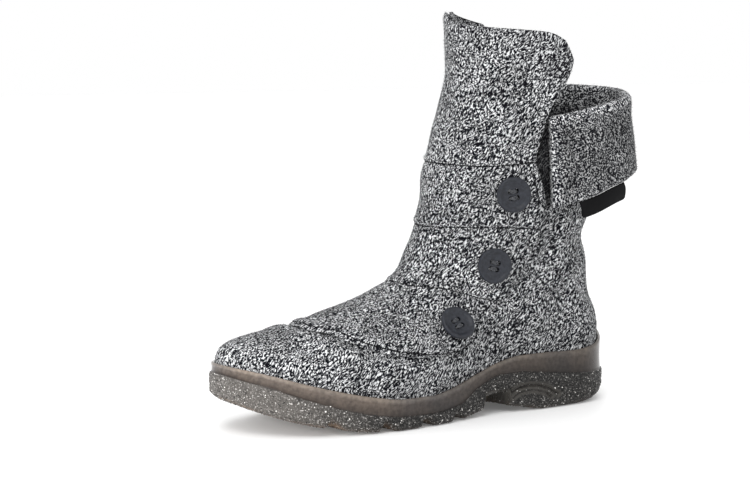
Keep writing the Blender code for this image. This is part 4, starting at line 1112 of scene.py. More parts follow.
panel_rim = edge_distance(panel_middle)
seam_steps = np.linalg.norm(np.diff(panel_middle, axis=0, prepend=panel_middle[:1]), axis=-1)
from_seam = np.cumsum(seam_steps, axis=0)
pressed = 1 - ease(from_seam / SEAM_PRESS)
thickness = PANEL_WALL / 2 * (0.22 + 0.78 * rounded(panel_rim / EDGE_ROUND)) * (1 - PRESSED_THINNER * pressed)
swell = np.zeros(panel_rim.shape)
for _, line in TUCKS:
    over = tuck_distance(panel_middle, line)
    swell += sum(rise * bell(over - place, width) for rise, place, width in TUCK_SHAPE) / 1000
swell += RIM_SWELL * bell(panel_rim - RIM_SWELL_PLACE, RIM_SWELL_WIDTH) * (1 - pressed)
panel_creases = np.maximum(creased(panel_middle, CREASES), -PANEL_CREASE_MOST)
swell += (panel_creases + soft_waves(panel_middle, *PANEL_WAVES)) * ease(panel_rim / PANEL_FREE)
sunk = PANEL_GAP - PRESSED_GAP + PANEL_WALL * PRESSED_DEEPER
lift = PANEL_GAP + PANEL_WALL / 2 + swell * SWELL_LIFT - sunk * pressed
centre = panel_middle + panel_normal * lift[..., None]
panel_outer = centre + panel_normal * (thickness + swell * SWELL_FACE)[..., None]
panel_inner = centre - panel_normal * thickness[..., None]
panel_ids = np.arange(panel_rim.size).reshape(panel_rim.shape)
panel = two_skins("knit_front_panel", panel_outer.reshape(-1, 3), panel_inner.reshape(-1, 3),
                  grid_faces(panel_ids), plain_finish)
tidy_normals(panel)
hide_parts("front_panel")
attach(panel, "root")
print("panel, faces:", len(panel.data.polygons))

# %% [markdown]
# ## Cup sole
# The sole is one moulding of smoky see-through rubber. Its foot is full of grit and rough to the touch, and a
# smooth band stands above it up to the lip round the knit. It is built as rings that climb the side, with the
# tread and the cup's floor laid across between their two halves. One relief function gives the tread its
# window groove and its lug waves, and the side uses the same function where they run out at the edge.

# %% Tread relief
TREAD_ROUND = 0.0050
TREAD_ROUND_HEIGHT = 0.0040
GRIT_INSET = 0.0002
LIP_ROUND = 0.0012
CHANNEL_DEPTH = 0.0032
LUG_DEPTH = 0.0033
LUG_WIDTH = 0.0120
LUG_WAVE = 0.030
CHANNEL_PAST_EDGE = 0.006
CHANNEL_WALL = 0.22
CHANNEL_ROWS = (
    # along, across (share of the ball width, outer side positive), half width, depth share
    (0.362, 0.430, 0.0108, 2.7),
    (0.380, 0.295, 0.0104, 2.3),
    (0.420, 0.180, 0.0088, 1.8),
    (0.470, 0.078, 0.0062, 1.3),
    (0.515, 0.024, 0.0042, 1.0),
    (0.680, -0.020, 0.0033, 1.0),
    (0.842, -0.062, 0.0026, 1.0),
)
LUG_ROWS = (
    # outer end, inner end
    (0.797, 0.853),
    (0.684, 0.722),
    (0.579, 0.617),
    (0.486, 0.522),
)
channel_share = np.linspace(CHANNEL_ROWS[0][0], CHANNEL_ROWS[-1][0], 90)
channel_across = smooth(CHANNEL_ROWS, channel_share, 1) * WIDTHS["ball"]
channel_path = np.stack([channel_share * SOLE_LENGTH, channel_across], -1)
channel_half = smooth(CHANNEL_ROWS, channel_share, 2)
channel_deep = smooth(CHANNEL_ROWS, channel_share, 3) * CHANNEL_DEPTH
channel_way = np.gradient(channel_path, axis=0)
channel_way /= np.linalg.norm(channel_way, axis=-1, keepdims=True)
channel_path[0] -= channel_way[0] * CHANNEL_PAST_EDGE


def channel_depth(along, across):
    """Depth of the window groove under a point of the tread."""
    flat = np.stack([np.ravel(along), np.ravel(across)], -1)
    gap = np.linalg.norm(flat[:, None] - channel_path[None], axis=-1)
    nearest = gap.argmin(axis=1)
    inside = channel_half[nearest] - gap[np.arange(len(flat)), nearest]
    wall = ease(inside / (channel_half[nearest] * CHANNEL_WALL))
    return (channel_deep[nearest] * wall).reshape(np.shape(along))


def lug_depth(along, across):
    """Depth of the saw-tooth grooves between the lug waves."""
    total = np.zeros(np.shape(along))
    outer_half = body_half(along, np.full(np.shape(along), OUTER)) - axis_shift(along)
    inner_half = body_half(along, np.full(np.shape(along), INNER)) + axis_shift(along)
    t = np.clip((outer_half - across) / (outer_half + inner_half), 0, 1)
    for outer_end, inner_end in LUG_ROWS:
        line = (outer_end + (inner_end - outer_end) * t + LUG_WAVE * np.sin(math.pi * t) ** 2) * SOLE_LENGTH
        past = (along - line) / LUG_WIDTH
        rise = ease((past + 0.65) / 0.85) * (1 - ease((past - 0.20) / 0.25))
        total = np.maximum(total, LUG_DEPTH * (1.5 - 0.8 * np.sin(math.pi * t)) * rise)
    return total


def tread_height(along, across):
    """Height of the underside, with its grooves."""
    return side_height(along, "ground") + np.maximum(channel_depth(along, across), lug_depth(along, across))


print("window groove, mm deep at its mouth:", round(float(channel_deep[0]) * 1000, 1))

# %% Sole rings
SOLE_TURNS = 1080
ROUND_ROWS = 5
GRIT_ROWS = 26
BAND_ROWS = 9
TREAD_LINES = 50
HEEL_ARCS = (
    # depth mm, width mm, line of (along, height) in mm on the outer side
    (1.5, 1.0, (
        (90.5, 8.3), (87.2, 13.1), (82.2, 15.2), (75.4, 16.2), (67.6, 15.2), (59.9, 12.6), (53.5, 8.5))),
    (0.9, 0.8, ((87.2, 9.0), (82.9, 11.9), (77.2, 13.1), (70.6, 12.8), (62.9, 10.4), (58.5, 7.6))),
)
HEEL_SOFTER = 1.2
HEEL_SOFT_START = 0.70
HEEL_SOFT_FADE = 0.18
STEP_ROOM = 0.0015
STEP_EDGE = 0.0006
BAND_HOLLOW = 0.0003
RIM_DROP = 0.0004
LIP_STEPS = (
    # inset from the band, height over the lip
    (0.0002, -RIM_DROP),
    (0.0006, 0.0),
    (LIP_THICKNESS - 0.0003, 0.0),
    (LIP_THICKNESS, -RIM_DROP),
)
sole_turns = np.arange(SOLE_TURNS) * 2 / SOLE_TURNS
sole_turns = np.where(sole_turns > 1, sole_turns - 2, sole_turns)


def sole_ring(inset, height_at):
    """Ring on the sole's outline, at the height that a function gives for its places."""
    plan = outline(sole_turns, inset)
    return world_point(plan[:, 0], plan[:, 1], height_at(plan[:, 0], plan[:, 1]))


heel_round = 1 + HEEL_SOFTER * ease((np.abs(sole_turns) - HEEL_SOFT_START) / HEEL_SOFT_FADE)
rings, grit_share, band_share = [], [], []
edge_plan = outline(sole_turns, TREAD_ROUND * 0.4)
edge_lift = tread_height(edge_plan[:, 0], edge_plan[:, 1])
for r in range(ROUND_ROWS + 1):
    angle = math.pi / 2 * r / ROUND_ROWS
    inset = GRIT_INSET + (TREAD_ROUND * heel_round - GRIT_INSET) * (1 - math.sin(angle))
    over = TREAD_ROUND_HEIGHT * heel_round * (1 - math.cos(angle))
    if r == 0:
        rings.append(sole_ring(inset, tread_height))
    else:
        rings.append(sole_ring(inset, lambda along, across: np.minimum(
            edge_lift + over, side_height(along, "step") - STEP_ROOM)))
    grit_share.append(1.0)
    band_share.append(0.0)
foot_ring = rings[-1][:, 2]
for r in range(1, GRIT_ROWS + 1):
    share = r / GRIT_ROWS
    rings.append(sole_ring(GRIT_INSET, lambda along, across: foot_ring + (
        side_height(along, "step") - STEP_EDGE - foot_ring) * share))
    grit_share.append(1.0)
    band_share.append(0.0)
for r in range(BAND_ROWS + 1):
    share = r / BAND_ROWS
    hollow = BAND_HOLLOW * math.sin(math.pi * share)
    rings.append(sole_ring(LIP_INSET + hollow, lambda along, across: side_height(along, "step") + (
        side_height(along, "lip") - LIP_ROUND - side_height(along, "step")) * share))
    grit_share.append(0.0)
    band_share.append(share)
for inset, over in LIP_STEPS:
    rings.append(sole_ring(LIP_INSET + inset, lambda along, across: side_height(along, "lip") + over))
    grit_share.append(0.0)
    band_share.append(1.0)
for share in (0.5, 1.0):
    rings.append(sole_ring(LIP_INSET + LIP_THICKNESS, lambda along, across: (
        side_height(along, "lip") - RIM_DROP + (
            side_height(along, "floor") - side_height(along, "lip") + RIM_DROP) * share)))
    grit_share.append(0.0)
    band_share.append(1.0 - share)
rings = np.array(rings)
grit = np.repeat(np.array(grit_share)[:, None], SOLE_TURNS, axis=1)
band = np.repeat(np.array(band_share)[:, None], SOLE_TURNS, axis=1)
print("rings of the sole:", rings.shape[:2])

# %% Sole skin
ROUGH_LUMPS = (
    # depth, size, seed
    (0.00042, 0.0026, 3),
    (0.00026, 0.0013, 4),
)
ROUGH_SETBACK = 0.0002
ROUGH_START = 0.0012
ROUGH_FADE = 0.002
PIT_DEPTH = 0.00030
PIT_SIZE = 0.0022
PIT_SEED = 5
FLOOR_POINTS = 9
# Painted shade near the window groove's mouth under the arch, and a painted glow at the tread's rim.
MOUTH_SHADE_MM = 20.0
PAINTED_RIM_GLOW = 0.7
GROOVE_LOW = 0.002
MOUTH_LOW = 0.004
MOUTH_TOP = 0.0155
GRAIN_FOOT = 0.0014
ring_normal = np.cross(np.roll(rings, -1, axis=1) - np.roll(rings, 1, axis=1), UP)
ring_normal /= np.maximum(np.linalg.norm(ring_normal, axis=-1, keepdims=True), 1e-9)
if ring_normal[ROUND_ROWS, 0, 0] > 0:
    ring_normal = -ring_normal
rough = sum(depth * lumps(rings, size, seed) for depth, size, seed in ROUGH_LUMPS)
fade = grit * ease((rings[..., 2] - ROUGH_START) / ROUGH_FADE)
side_move = (rough - ROUGH_SETBACK) * fade
clear = np.zeros(rings.shape[:2])
for depth, width, line in HEEL_ARCS:
    distance, _, on_side = line_distance(rings, OUTER, line)
    dent = bell(distance, width) * on_side * (grit > 0.5)
    lip = bell(distance - 1.5 * width, width) * on_side * (grit > 0.5)
    side_move += depth * (0.5 * lip - dent) / 1000
    clear = np.maximum(clear, lip)
    grit = grit * (1 - 0.9 * np.maximum(dent, lip))
rings = rings + ring_normal * side_move[..., None]
half = SOLE_TURNS // 2
tread_lines, floor_lines = [], []
share = np.linspace(0, 1, TREAD_LINES + 1)[:, None]
for i in range(half + 1):
    start, end = rings[0, i], rings[0, -i % SOLE_TURNS]
    line = start + (end - start) * share
    inner = tread_height(ORIGIN_FROM_HEEL - line[:, 0], -line[:, 1])
    line[1:-1, 2] = inner[1:-1]
    tread_lines.append(line)
    start, end = rings[-1, i], rings[-1, -i % SOLE_TURNS]
    line = start + (end - start) * np.linspace(0, 1, FLOOR_POINTS)[:, None]
    line[:, 2] = side_height(ORIGIN_FROM_HEEL - line[:, 0], "floor")
    floor_lines.append(line)
tread_lines = np.array(tread_lines)
floor_lines = np.array(floor_lines)
tread_lines[:, 1:-1, 2] += PIT_DEPTH * np.abs(lumps(tread_lines[:, 1:-1], PIT_SIZE, PIT_SEED))
parts = (rings, tread_lines, floor_lines)
offsets = np.cumsum([0] + [g.shape[0] * g.shape[1] for g in parts])
ring_ids, tread_ids, floor_ids = (
    np.arange(g.shape[0] * g.shape[1]).reshape(g.shape[:2]) + start for g, start in zip(parts, offsets))
sole_faces = grid_faces(ring_ids, closed=True) + grid_faces(tread_ids) + grid_faces(floor_ids)
sole_points = np.concatenate([g.reshape(-1, 3) for g in parts])
sole = add_object("rubber_cup_sole", sole_points, sole_faces, plain_finish)
# The tread attribute brings in the warm underside colour. Near the window groove's mouth it fades out, a
# painted shade under the arch, and on the rings next to the tread it is a painted glow of light through the
# rubber's edge.
tread_along = ORIGIN_FROM_HEEL - tread_lines[..., 0]
from_mouth = np.hypot(tread_along - channel_path[0, 0], -tread_lines[..., 1] - channel_path[0, 1])
tread_less_mouth_shade = 1 - bell(from_mouth * 1000, MOUTH_SHADE_MM)
painted_rim_glow = np.zeros(rings.shape[:2])
painted_rim_glow[:ROUND_ROWS + 1] = PAINTED_RIM_GLOW * np.linspace(1.0, 0.0, ROUND_ROWS + 1)[:, None] ** 2
smooth_groove = 1 - 0.9 * ease(channel_depth(tread_along, -tread_lines[..., 1]) / GROOVE_LOW)
ring_groove = ease(channel_depth(ORIGIN_FROM_HEEL - rings[..., 0], -rings[..., 1]) / MOUTH_LOW)
ring_groove = ring_groove * (rings[..., 2] < MOUTH_TOP) * (rings[..., 1] < 0)
no_tread = np.zeros(tread_lines[..., 0].size)
no_floor = np.zeros(floor_lines[..., 0].size)
grains_here = np.concatenate([grit.ravel(), smooth_groove.ravel() > 0.5, no_floor])
for label, values in (
        ("grit", ((grit * (1 - 0.9 * ring_groove)).ravel(), smooth_groove.ravel(), no_floor)),
        ("clear", (
            np.maximum(clear, 0.8 * ring_groove).ravel(), 0.8 * (1 - smooth_groove.ravel()), no_floor)),
        ("grains", (grains_here * (sole_points[:, 2] > GRAIN_FOOT),)),
        ("tread", (painted_rim_glow.ravel(), tread_less_mouth_shade.ravel(), no_floor)),
        ("band", (band.ravel(), no_tread, no_floor))):
    set_attribute(sole, label, np.concatenate(values))
tidy_normals(sole)
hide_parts("outsole")
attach(sole, "root")
print("sole, faces:", len(sole.data.polygons))

# %% [markdown]
# ## Insole
# A felt footbed lies on the floor of the cup, inside the knit. It only shows from above, down the shaft. A
# shallow hollow at the heel and a soft rounded rim are enough for it.

# %% Insole
INSOLE_INSET = UPPER_INSET + WALL + CLEARANCE
INSOLE_THICKNESS = 0.0035
INSOLE_LINES = 22
INSOLE_END = 0.007
INSOLE_EDGE = 0.003
INSOLE_EDGE_DROP = 0.0011
INSOLE_EDGE_LIFT = 0.0004
HEEL_HOLLOW = 0.0007
HEEL_HOLLOW_PLACE = 0.045
HEEL_HOLLOW_WIDTH = 0.022
insole_top, insole_low = [], []
for i in range(0, half + 1, 4):
    turn = sole_turns[i]
    ends = outline(np.array([turn, -turn]), INSOLE_INSET)
    line = ends[0] + (ends[1] - ends[0]) * np.linspace(0, 1, INSOLE_LINES + 1)[:, None]
    base = side_height(line[:, 0], "floor") + CLEARANCE
    rim = np.minimum(np.linalg.norm(line - ends[0], axis=1), np.linalg.norm(line - ends[1], axis=1))
    from_tip = np.minimum(line[:, 0] - INSOLE_END, SOLE_LENGTH - INSOLE_END - line[:, 0]).clip(0)
    edge = 1 - rounded(np.minimum(rim, from_tip) / INSOLE_EDGE)
    hollow = HEEL_HOLLOW * bell(np.hypot(line[:, 0] - HEEL_HOLLOW_PLACE, line[:, 1]), HEEL_HOLLOW_WIDTH)
    high = base + INSOLE_THICKNESS - INSOLE_EDGE_DROP * edge - hollow
    insole_top.append(world_point(line[:, 0], line[:, 1], high))
    insole_low.append(world_point(line[:, 0], line[:, 1], base + INSOLE_EDGE_LIFT * edge))
insole_ids = np.arange(len(insole_top) * (INSOLE_LINES + 1)).reshape(len(insole_top), -1)
insole = two_skins("felt_insole", np.concatenate(insole_top), np.concatenate(insole_low),
                   grid_faces(insole_ids), plain_finish)
tidy_normals(insole)
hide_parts("insole")
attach(insole, "root")
print("insole, faces:", len(insole.data.polygons))

# %% [markdown]
# ## Buttons
# Three coat buttons hold the flap. Each is a turned disc with a raised rim, a dished middle and four holes.
# The CAD solid says where its axis is and which way it faces: the centre of its points and their flattest
# direction. The new button is turned on a lathe profile, and the holes are cut with a Boolean.

# %% Buttons
BUTTON_RADIUS = 0.01075
BUTTON_HEIGHT = 0.0032
HOLE_RADIUS = 0.00150
HOLE_OFFSET = 0.0029
LATHE_STEPS = 64
DRILL_REACH = 0.01
DRILL_STEPS = 20
BUTTON_PROFILE = (
    # radius as a share of BUTTON_RADIUS, height as a share of BUTTON_HEIGHT
    (0.00, 0.00), (0.78, 0.00), (0.90, 0.10), (0.98, 0.28), (1.00, 0.45), (1.00, 0.68), (0.985, 0.82),
    (0.95, 0.94), (0.90, 1.00), (0.85, 0.98), (0.80, 0.90), (0.74, 0.76), (0.68, 0.66), (0.60, 0.62),
    (0.52, 0.60), (0.47, 0.55), (0.43, 0.50), (0.25, 0.48), (0.00, 0.48),
)


def button_axes(node):
    """Centre of a button's back and its three axes, from the CAD node's own points."""
    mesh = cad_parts[node].data
    points = np.array([v.co for v in mesh.vertices])
    centre = (points.min(0) + points.max(0)) / 2
    _, _, axes = np.linalg.svd(points - points.mean(0), full_matrices=False)
    normal = axes[2] if axes[2][1] < 0 else -axes[2]
    x_way = np.cross([0.0, 0.0, 1.0], normal)
    x_way /= np.linalg.norm(x_way)
    reach = (points - centre) @ normal
    return centre + normal * reach.min(), x_way, np.cross(normal, x_way), normal


def placed(points, axes):
    """Points of a button's own frame, set on the boot."""
    base, x_way, y_way, normal = axes
    points = np.asarray(points)
    return base + points[:, :1] * x_way + points[:, 1:2] * y_way + points[:, 2:] * normal


def lathe(profile, steps):
    """Closed turned shape from a profile that starts and ends on the axis."""
    work = bmesh.new()
    rows = []
    angles = [2 * math.pi * k / steps for k in range(steps)]
    for radius, height in profile:
        row_angles = angles if radius else angles[:1]
        rows.append([
            work.verts.new((radius * math.cos(a), radius * math.sin(a), height)) for a in row_angles])
    for low_row, high_row in zip(rows[:-1], rows[1:]):
        for k in range(steps):
            j = (k + 1) % steps
            corners = {low_row[k % len(low_row)]: 0, low_row[j % len(low_row)]: 0,
                       high_row[j % len(high_row)]: 0, high_row[k % len(high_row)]: 0}
            work.faces.new(list(corners))
    bmesh.ops.recalc_face_normals(work, faces=work.faces)
    return work


def drilled(work, holes, name):
    """Plain mesh of a turned shape with round holes cut through it."""
    body_mesh = bpy.data.meshes.new(name)
    work.to_mesh(body_mesh)
    work.free()
    body = bpy.data.objects.new(name, body_mesh)
    scene.collection.objects.link(body)
    drills = []
    for x, y in holes:
        drill = lathe(((0, -DRILL_REACH), (HOLE_RADIUS, -DRILL_REACH), (HOLE_RADIUS, DRILL_REACH),
                       (0, DRILL_REACH)), DRILL_STEPS)
        drill_mesh = bpy.data.meshes.new("drill")
        bmesh.ops.translate(drill, verts=drill.verts, vec=(x, y, 0))
        drill.to_mesh(drill_mesh)
        drill.free()
        tool = bpy.data.objects.new("drill", drill_mesh)
        scene.collection.objects.link(tool)
        step = body.modifiers.new("hole", "BOOLEAN")
        step.operation = "DIFFERENCE"
        step.object = tool
        drills.append(tool)
    bpy.context.view_layer.update()
    evaluated = body.evaluated_get(bpy.context.evaluated_depsgraph_get())
    mesh = bpy.data.meshes.new_from_object(evaluated)
    for old in (*drills, body):
        bpy.data.objects.remove(old)
    return mesh


hole_angles = [math.pi / 4 + math.pi / 2 * k for k in range(4)]
hole_spots = [(HOLE_OFFSET * math.cos(a), HOLE_OFFSET * math.sin(a)) for a in hole_angles]
button_profile = [(r * BUTTON_RADIUS, h * BUTTON_HEIGHT) for r, h in BUTTON_PROFILE]
button_mesh = drilled(lathe(button_profile, LATHE_STEPS), hole_spots, "button")
button_points = np.array([v.co for v in button_mesh.vertices])
button_faces = [tuple(face.vertices) for face in button_mesh.polygons]
BUTTON_TURNS = {"button_top": 0.15, "button_middle": -0.25, "button_bottom": 0.35}
buttons, threads = [], []
THREAD_RADIUS = 0.00032
THREAD_STEPS = 16
THREAD_SIDES = 8
STRAND_SPACE = 0.00042
THREAD_FOOT = 0.30
THREAD_RISE = 0.00125
THREAD_SHOULDER = 0.6
SHARP_DEGREES = 40


def tube(path, radius, sides):
    """Points and faces of a closed thin tube along a path."""
    path = np.asarray(path)
    way = np.gradient(path, axis=0)
    way /= np.linalg.norm(way, axis=-1, keepdims=True)
    helper = np.array([0.0, 0.0, 1.0]) if abs(way[:, 2]).mean() < 0.8 else np.array([1.0, 0.0, 0.0])
    side_way = np.cross(way, helper)
    side_way /= np.linalg.norm(side_way, axis=-1, keepdims=True)
    up_way = np.cross(side_way, way)
    angle = np.arange(sides) * 2 * math.pi / sides
    ring = np.cos(angle)[None, :, None] * side_way[:, None] + np.sin(angle)[None, :, None] * up_way[:, None]
    points = (path[:, None] + ring * radius).reshape(-1, 3)
    ids = np.arange(len(path) * sides).reshape(len(path), sides)
    faces = grid_faces(ids, closed=True)
    faces.append(tuple(range(sides - 1, -1, -1)))
    faces.append(tuple(range((len(path) - 1) * sides, len(path) * sides)))
    return points, faces


for node, turn in BUTTON_TURNS.items():
    axes = button_axes(node)
    spin = np.array([[math.cos(turn), -math.sin(turn), 0], [math.sin(turn), math.cos(turn), 0], [0, 0, 1]])
    button = add_object("horn_" + node, placed(button_points @ spin.T, axes), button_faces, plain_finish)
    tidy_normals(button)
    button.data.set_sharp_from_angle(angle=math.radians(SHARP_DEGREES))
    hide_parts(node)
    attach(button, "root")
    buttons.append(button)
    points, faces = [], []
    for first, last in ((0, 1), (2, 3)):
        for strand in (-STRAND_SPACE, 0.0, STRAND_SPACE):
            start, end = np.array(hole_spots[first]), np.array(hole_spots[last])
            across = np.array([-(end - start)[1], (end - start)[0]]) / np.linalg.norm(end - start)
            t = np.linspace(0, 1, THREAD_STEPS)
            flat = start + (end - start) * t[:, None] + across * strand * (1 + np.sin(math.pi * t))[:, None]
            arch = BUTTON_HEIGHT * THREAD_FOOT + THREAD_RISE * np.sin(math.pi * t) ** THREAD_SHOULDER
            path = np.column_stack([flat, arch]) @ spin.T
            made_points, made_faces = tube(path, THREAD_RADIUS, THREAD_SIDES)
            faces += [tuple(i + len(points) for i in face) for face in made_faces]
            points += made_points.tolist()
    thread = add_object("thread_of_" + node, placed(points, axes), faces, plain_finish)
    tidy_normals(thread)
    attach(thread, "root")
    threads.append(thread)
print("buttons:", len(buttons), "faces each:", len(button_faces))

# %% [markdown]
# ## Side tab
# A small plain black tab is sewn into the hem of the cuff. It is a thin woven strip that follows the hem's
# curve and hangs down, with rounded corners and a slightly raised selvedge.

# %% Side tab
TAB_PLACE = 0.158
TAB_LENGTH = 0.044
TAB_DROP = 0.011
TAB_THICKNESS = 0.0010
TAB_GAP = 0.0005
TAB_COLUMNS = 44
TAB_ROWS = 18
TAB_CORNER = 0.0022
TAB_BOW = 0.0010
TAB_EDGE = 0.0009
SELVEDGE_PLACE = 0.0010
SELVEDGE_WIDTH = 0.0005
TAB_PROBE = 0.01


def hem_spot(place):
    """Point and outward way at the middle of the cuff's hem, for a place round it."""
    turn = np.asarray(back_start + (1 - back_start) * place * 2)
    level = level_at(fold_height(turn), turn)
    normal = flat_outward(level, turn)
    drop = cuff_drop(turn)[:, None] if turn.ndim else cuff_drop(turn)
    reach = CUFF_SLACK / 2 + WALL / 2 + CUFF_FLARE * drop + CUFF_SLACK / 2
    return form(level, turn) + normal * reach - UP * drop, normal


here, _ = hem_spot(TAB_PLACE)
beside, _ = hem_spot(TAB_PLACE + TAB_PROBE)
tab_span = TAB_LENGTH / np.linalg.norm(beside - here) * TAB_PROBE
across_share = np.linspace(-0.5, 0.5, TAB_COLUMNS + 1)
hem_line, hem_out = hem_spot(TAB_PLACE + tab_span * across_share)
down_share = np.linspace(0, 1, TAB_ROWS + 1)
tab_down = np.cross(hem_out, np.gradient(hem_line, axis=0))
tab_down *= -np.sign(tab_down[:, 2:]) / np.linalg.norm(tab_down, axis=-1, keepdims=True)
from_end = (0.5 - np.abs(across_share)) * TAB_LENGTH
tab_length_here = TAB_DROP - TAB_CORNER * (1 - rounded(from_end / TAB_CORNER))
tab_hang = TAB_GAP + (tab_length_here[None, :, None] - TAB_GAP) * down_share[:, None, None]
tab_middle = hem_line[None] + tab_down[None] * tab_hang
tab_middle = tab_middle + hem_out[None] * (TAB_BOW * np.sin(math.pi * down_share))[:, None, None]
tab_rim = edge_distance(tab_middle)
selvedge = 0.25 * bell(tab_rim - SELVEDGE_PLACE, SELVEDGE_WIDTH)
tab_half = TAB_THICKNESS / 2 * (0.55 + 0.45 * rounded(tab_rim / TAB_EDGE) + selvedge)
tab = two_skins("woven_side_tab", (tab_middle + hem_out[None] * tab_half[..., None]).reshape(-1, 3),
                (tab_middle - hem_out[None] * tab_half[..., None]).reshape(-1, 3),
                grid_faces(np.arange(tab_rim.size).reshape(tab_rim.shape)), plain_finish)
tidy_normals(tab)
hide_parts("side_label")
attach(tab, "root")
print("side tab, faces:", len(tab.data.polygons))

# %% [markdown]
# ## Finishes
# Every finish is made from noise on Object coordinates, so it sits on the boot and needs no images. The knit
# is spun from black, grey and white wool, so its pattern is a hard-edged fleck a little over a millimetre
# wide, with the same pattern raised as bump. The inside of the knit, which shows on the cuff, is felted: its
# fleck is softer. The rubber changes from dark grit at the foot to a smooth smoky band.


# %% Knit finish
FLECK_SCALE = 1120.0
FLECK_SLANT = -0.85
FLECK_STRETCH = (2.0, 1.0, 0.85)
FLECK_SWAY = (0.006, 0.006, 0.006)


def knit_finish(name, seed):
    """Mottled wool knit. Felted gives the softer inside; attributes paint shade in gaps and a highlight."""
    made, tree, shader = new_material(name, 0.95, Specular_IOR_Level=0.08)
    shift = add_node(tree, "ShaderNodeVectorMath", {
        0: object_place(tree), 1: (seed, seed * 0.7, seed * 1.3)}, operation="ADD").outputs[0]
    sway = noise(tree, shift, 90.0, 1.0)
    swayed = add_node(tree, "ShaderNodeVectorMath", {
        0: sway.outputs["Color"], 1: FLECK_SWAY}, operation="MULTIPLY")
    place = add_node(tree, "ShaderNodeVectorMath", {
        0: shift, 1: swayed.outputs[0]}, operation="ADD").outputs[0]
    strokes = add_node(tree, "ShaderNodeMapping", {
        "Vector": place, "Rotation": (0.0, FLECK_SLANT, 0.0), "Scale": FLECK_STRETCH}, vector_type="TEXTURE")
    fleck = noise(tree, strokes.outputs[0], FLECK_SCALE, 1.0, roughness=0.5, distortion=0.6)
    fine = noise(tree, place, 2400.0, 1.0)
    soft = noise(tree, place, 980.0, 2.0)
    cloud = noise(tree, shift, 45.0, 1.0)
    pattern = math_node(tree, "ADD", math_node(tree, "MULTIPLY", fleck.outputs["Fac"], 0.85),
                        math_node(tree, "MULTIPLY", fine.outputs["Fac"], 0.15))
    hard = ramp(tree, pattern, ((0.43, (0.003, 0.003, 0.005)), (0.485, (0.015, 0.016, 0.020)),
                                (0.52, (0.085, 0.087, 0.093)), (0.56, (0.34, 0.345, 0.35)),
                                (0.62, (0.74, 0.75, 0.76))))
    gentle = ramp(tree, soft.outputs["Fac"], ((0.44, (0.003, 0.003, 0.005)), (0.495, (0.020, 0.021, 0.025)),
                                              (0.54, (0.15, 0.153, 0.16)), (0.61, (0.60, 0.605, 0.61))))
    colour = mixed(tree, attribute(tree, "felted"), hard, gentle)
    shade = ramp(tree, cloud.outputs["Fac"], ((0.35, 0.72), (0.65, 1.0)))
    clouded = mixed(tree, 1.0, colour, shade, "MULTIPLY")
    # Paler wool for the painted highlight on the cuff, then near black for the painted shade.
    lighter = mixed(tree, 0.5, clouded, mixed(tree, 1.0, gentle, (2.2, 2.2, 2.2), "MULTIPLY"))
    highlighted = mixed(tree, attribute(tree, "painted_highlight"), clouded, lighter)
    deep = mixed(tree, attribute(tree, "dark"), highlighted, (0.004, 0.004, 0.005))
    tree.links.new(deep, shader.inputs["Base Color"])
    height = math_node(tree, "ADD", pattern, math_node(tree, "MULTIPLY", soft.outputs["Fac"], 0.5))
    bumped(tree, shader, height, 0.7, 0.0008)
    return made


wool = knit_finish("mottled_wool", 1.0)
wool_panel = knit_finish("mottled_wool_panel", 4.0)
upper.data.materials[0] = wool
panel.data.materials[0] = wool_panel
print("knit finishes ready")

# %% Rubber finish
rubber, tree, shader = new_material(
    "smoky_rubber", 0.3, Specular_IOR_Level=0.22, Coat_Weight=0.05, Coat_Roughness=0.25)
coords = object_place(tree)
grit_here = attribute(tree, "grit")
crumb = noise(tree, coords, 1050.0, 2.0, roughness=0.6)
stain = noise(tree, coords, 26.0, 2.0)
crumb_colour = ramp(tree, crumb.outputs["Fac"], (
    (0.40, (0.008, 0.0078, 0.0075)), (0.50, (0.028, 0.027, 0.026)), (0.59, (0.078, 0.074, 0.070)),
    (0.66, (0.26, 0.25, 0.24)), (0.74, (0.72, 0.70, 0.68))))
# Warm underside colour, also used as the painted glow at the tread's rim.
underside_and_rim_glow = attribute(tree, "tread")
blobs = add_node(tree, "ShaderNodeTexVoronoi", {"Vector": coords, "Scale": 68.0, "Randomness": 0.55})
blob = ramp(tree, blobs.outputs["Distance"], ((0.15, (1.15, 1.05, 0.94)), (0.50, (0.66, 0.62, 0.58))))
amber = ramp(tree, stain.outputs["Fac"], ((0.38, (0.16, 0.135, 0.115)), (0.66, (0.34, 0.20, 0.10))))
underside_colour_and_glow = mixed(tree, 1.0, mixed(tree, 0.5, mixed(tree, 1.0, crumb_colour, (1.6, 1.5, 1.4), "MULTIPLY"), amber),
             blob, "MULTIPLY")
crumb_colour = mixed(tree, underside_and_rim_glow, crumb_colour, underside_colour_and_glow)
band_colour = ramp(tree, attribute(tree, "band"), (
    (0.0, (0.034, 0.029, 0.027)), (0.30, (0.056, 0.048, 0.044)), (0.75, (0.082, 0.071, 0.065)),
    (0.97, (0.150, 0.135, 0.124))))
stained = mixed(tree, 1.0, band_colour, ramp(tree, stain.outputs["Fac"], (
    (0.3, (0.62, 0.62, 0.64)), (0.7, (1.15, 1.05, 0.94)))), "MULTIPLY")
split = add_node(tree, "ShaderNodeSeparateXYZ", {"Vector": coords})
# Painted light: the rubber is scaled brighter towards the toe and darker towards the heel, following the light
# from the toe's side.
painted_light_to_heel = add_node(tree, "ShaderNodeMapRange", {
    "Value": split.outputs["X"], "From Min": -0.22, "From Max": -0.02, "To Min": 1.26, "To Max": 0.66})
knit_behind = noise(tree, coords, 420.0, 3.0)
behind = ramp(tree, knit_behind.outputs["Fac"], ((0.35, 0.72), (0.65, 1.12)))
shaded = mixed(tree, 1.0, stained, behind, "MULTIPLY")
band_with_painted_light = scaled(tree, shaded, painted_light_to_heel.outputs["Result"])
to_back = add_node(tree, "ShaderNodeMapRange", {
    "Value": split.outputs["X"], "From Min": -0.23, "From Max": 0.04}).outputs["Result"]
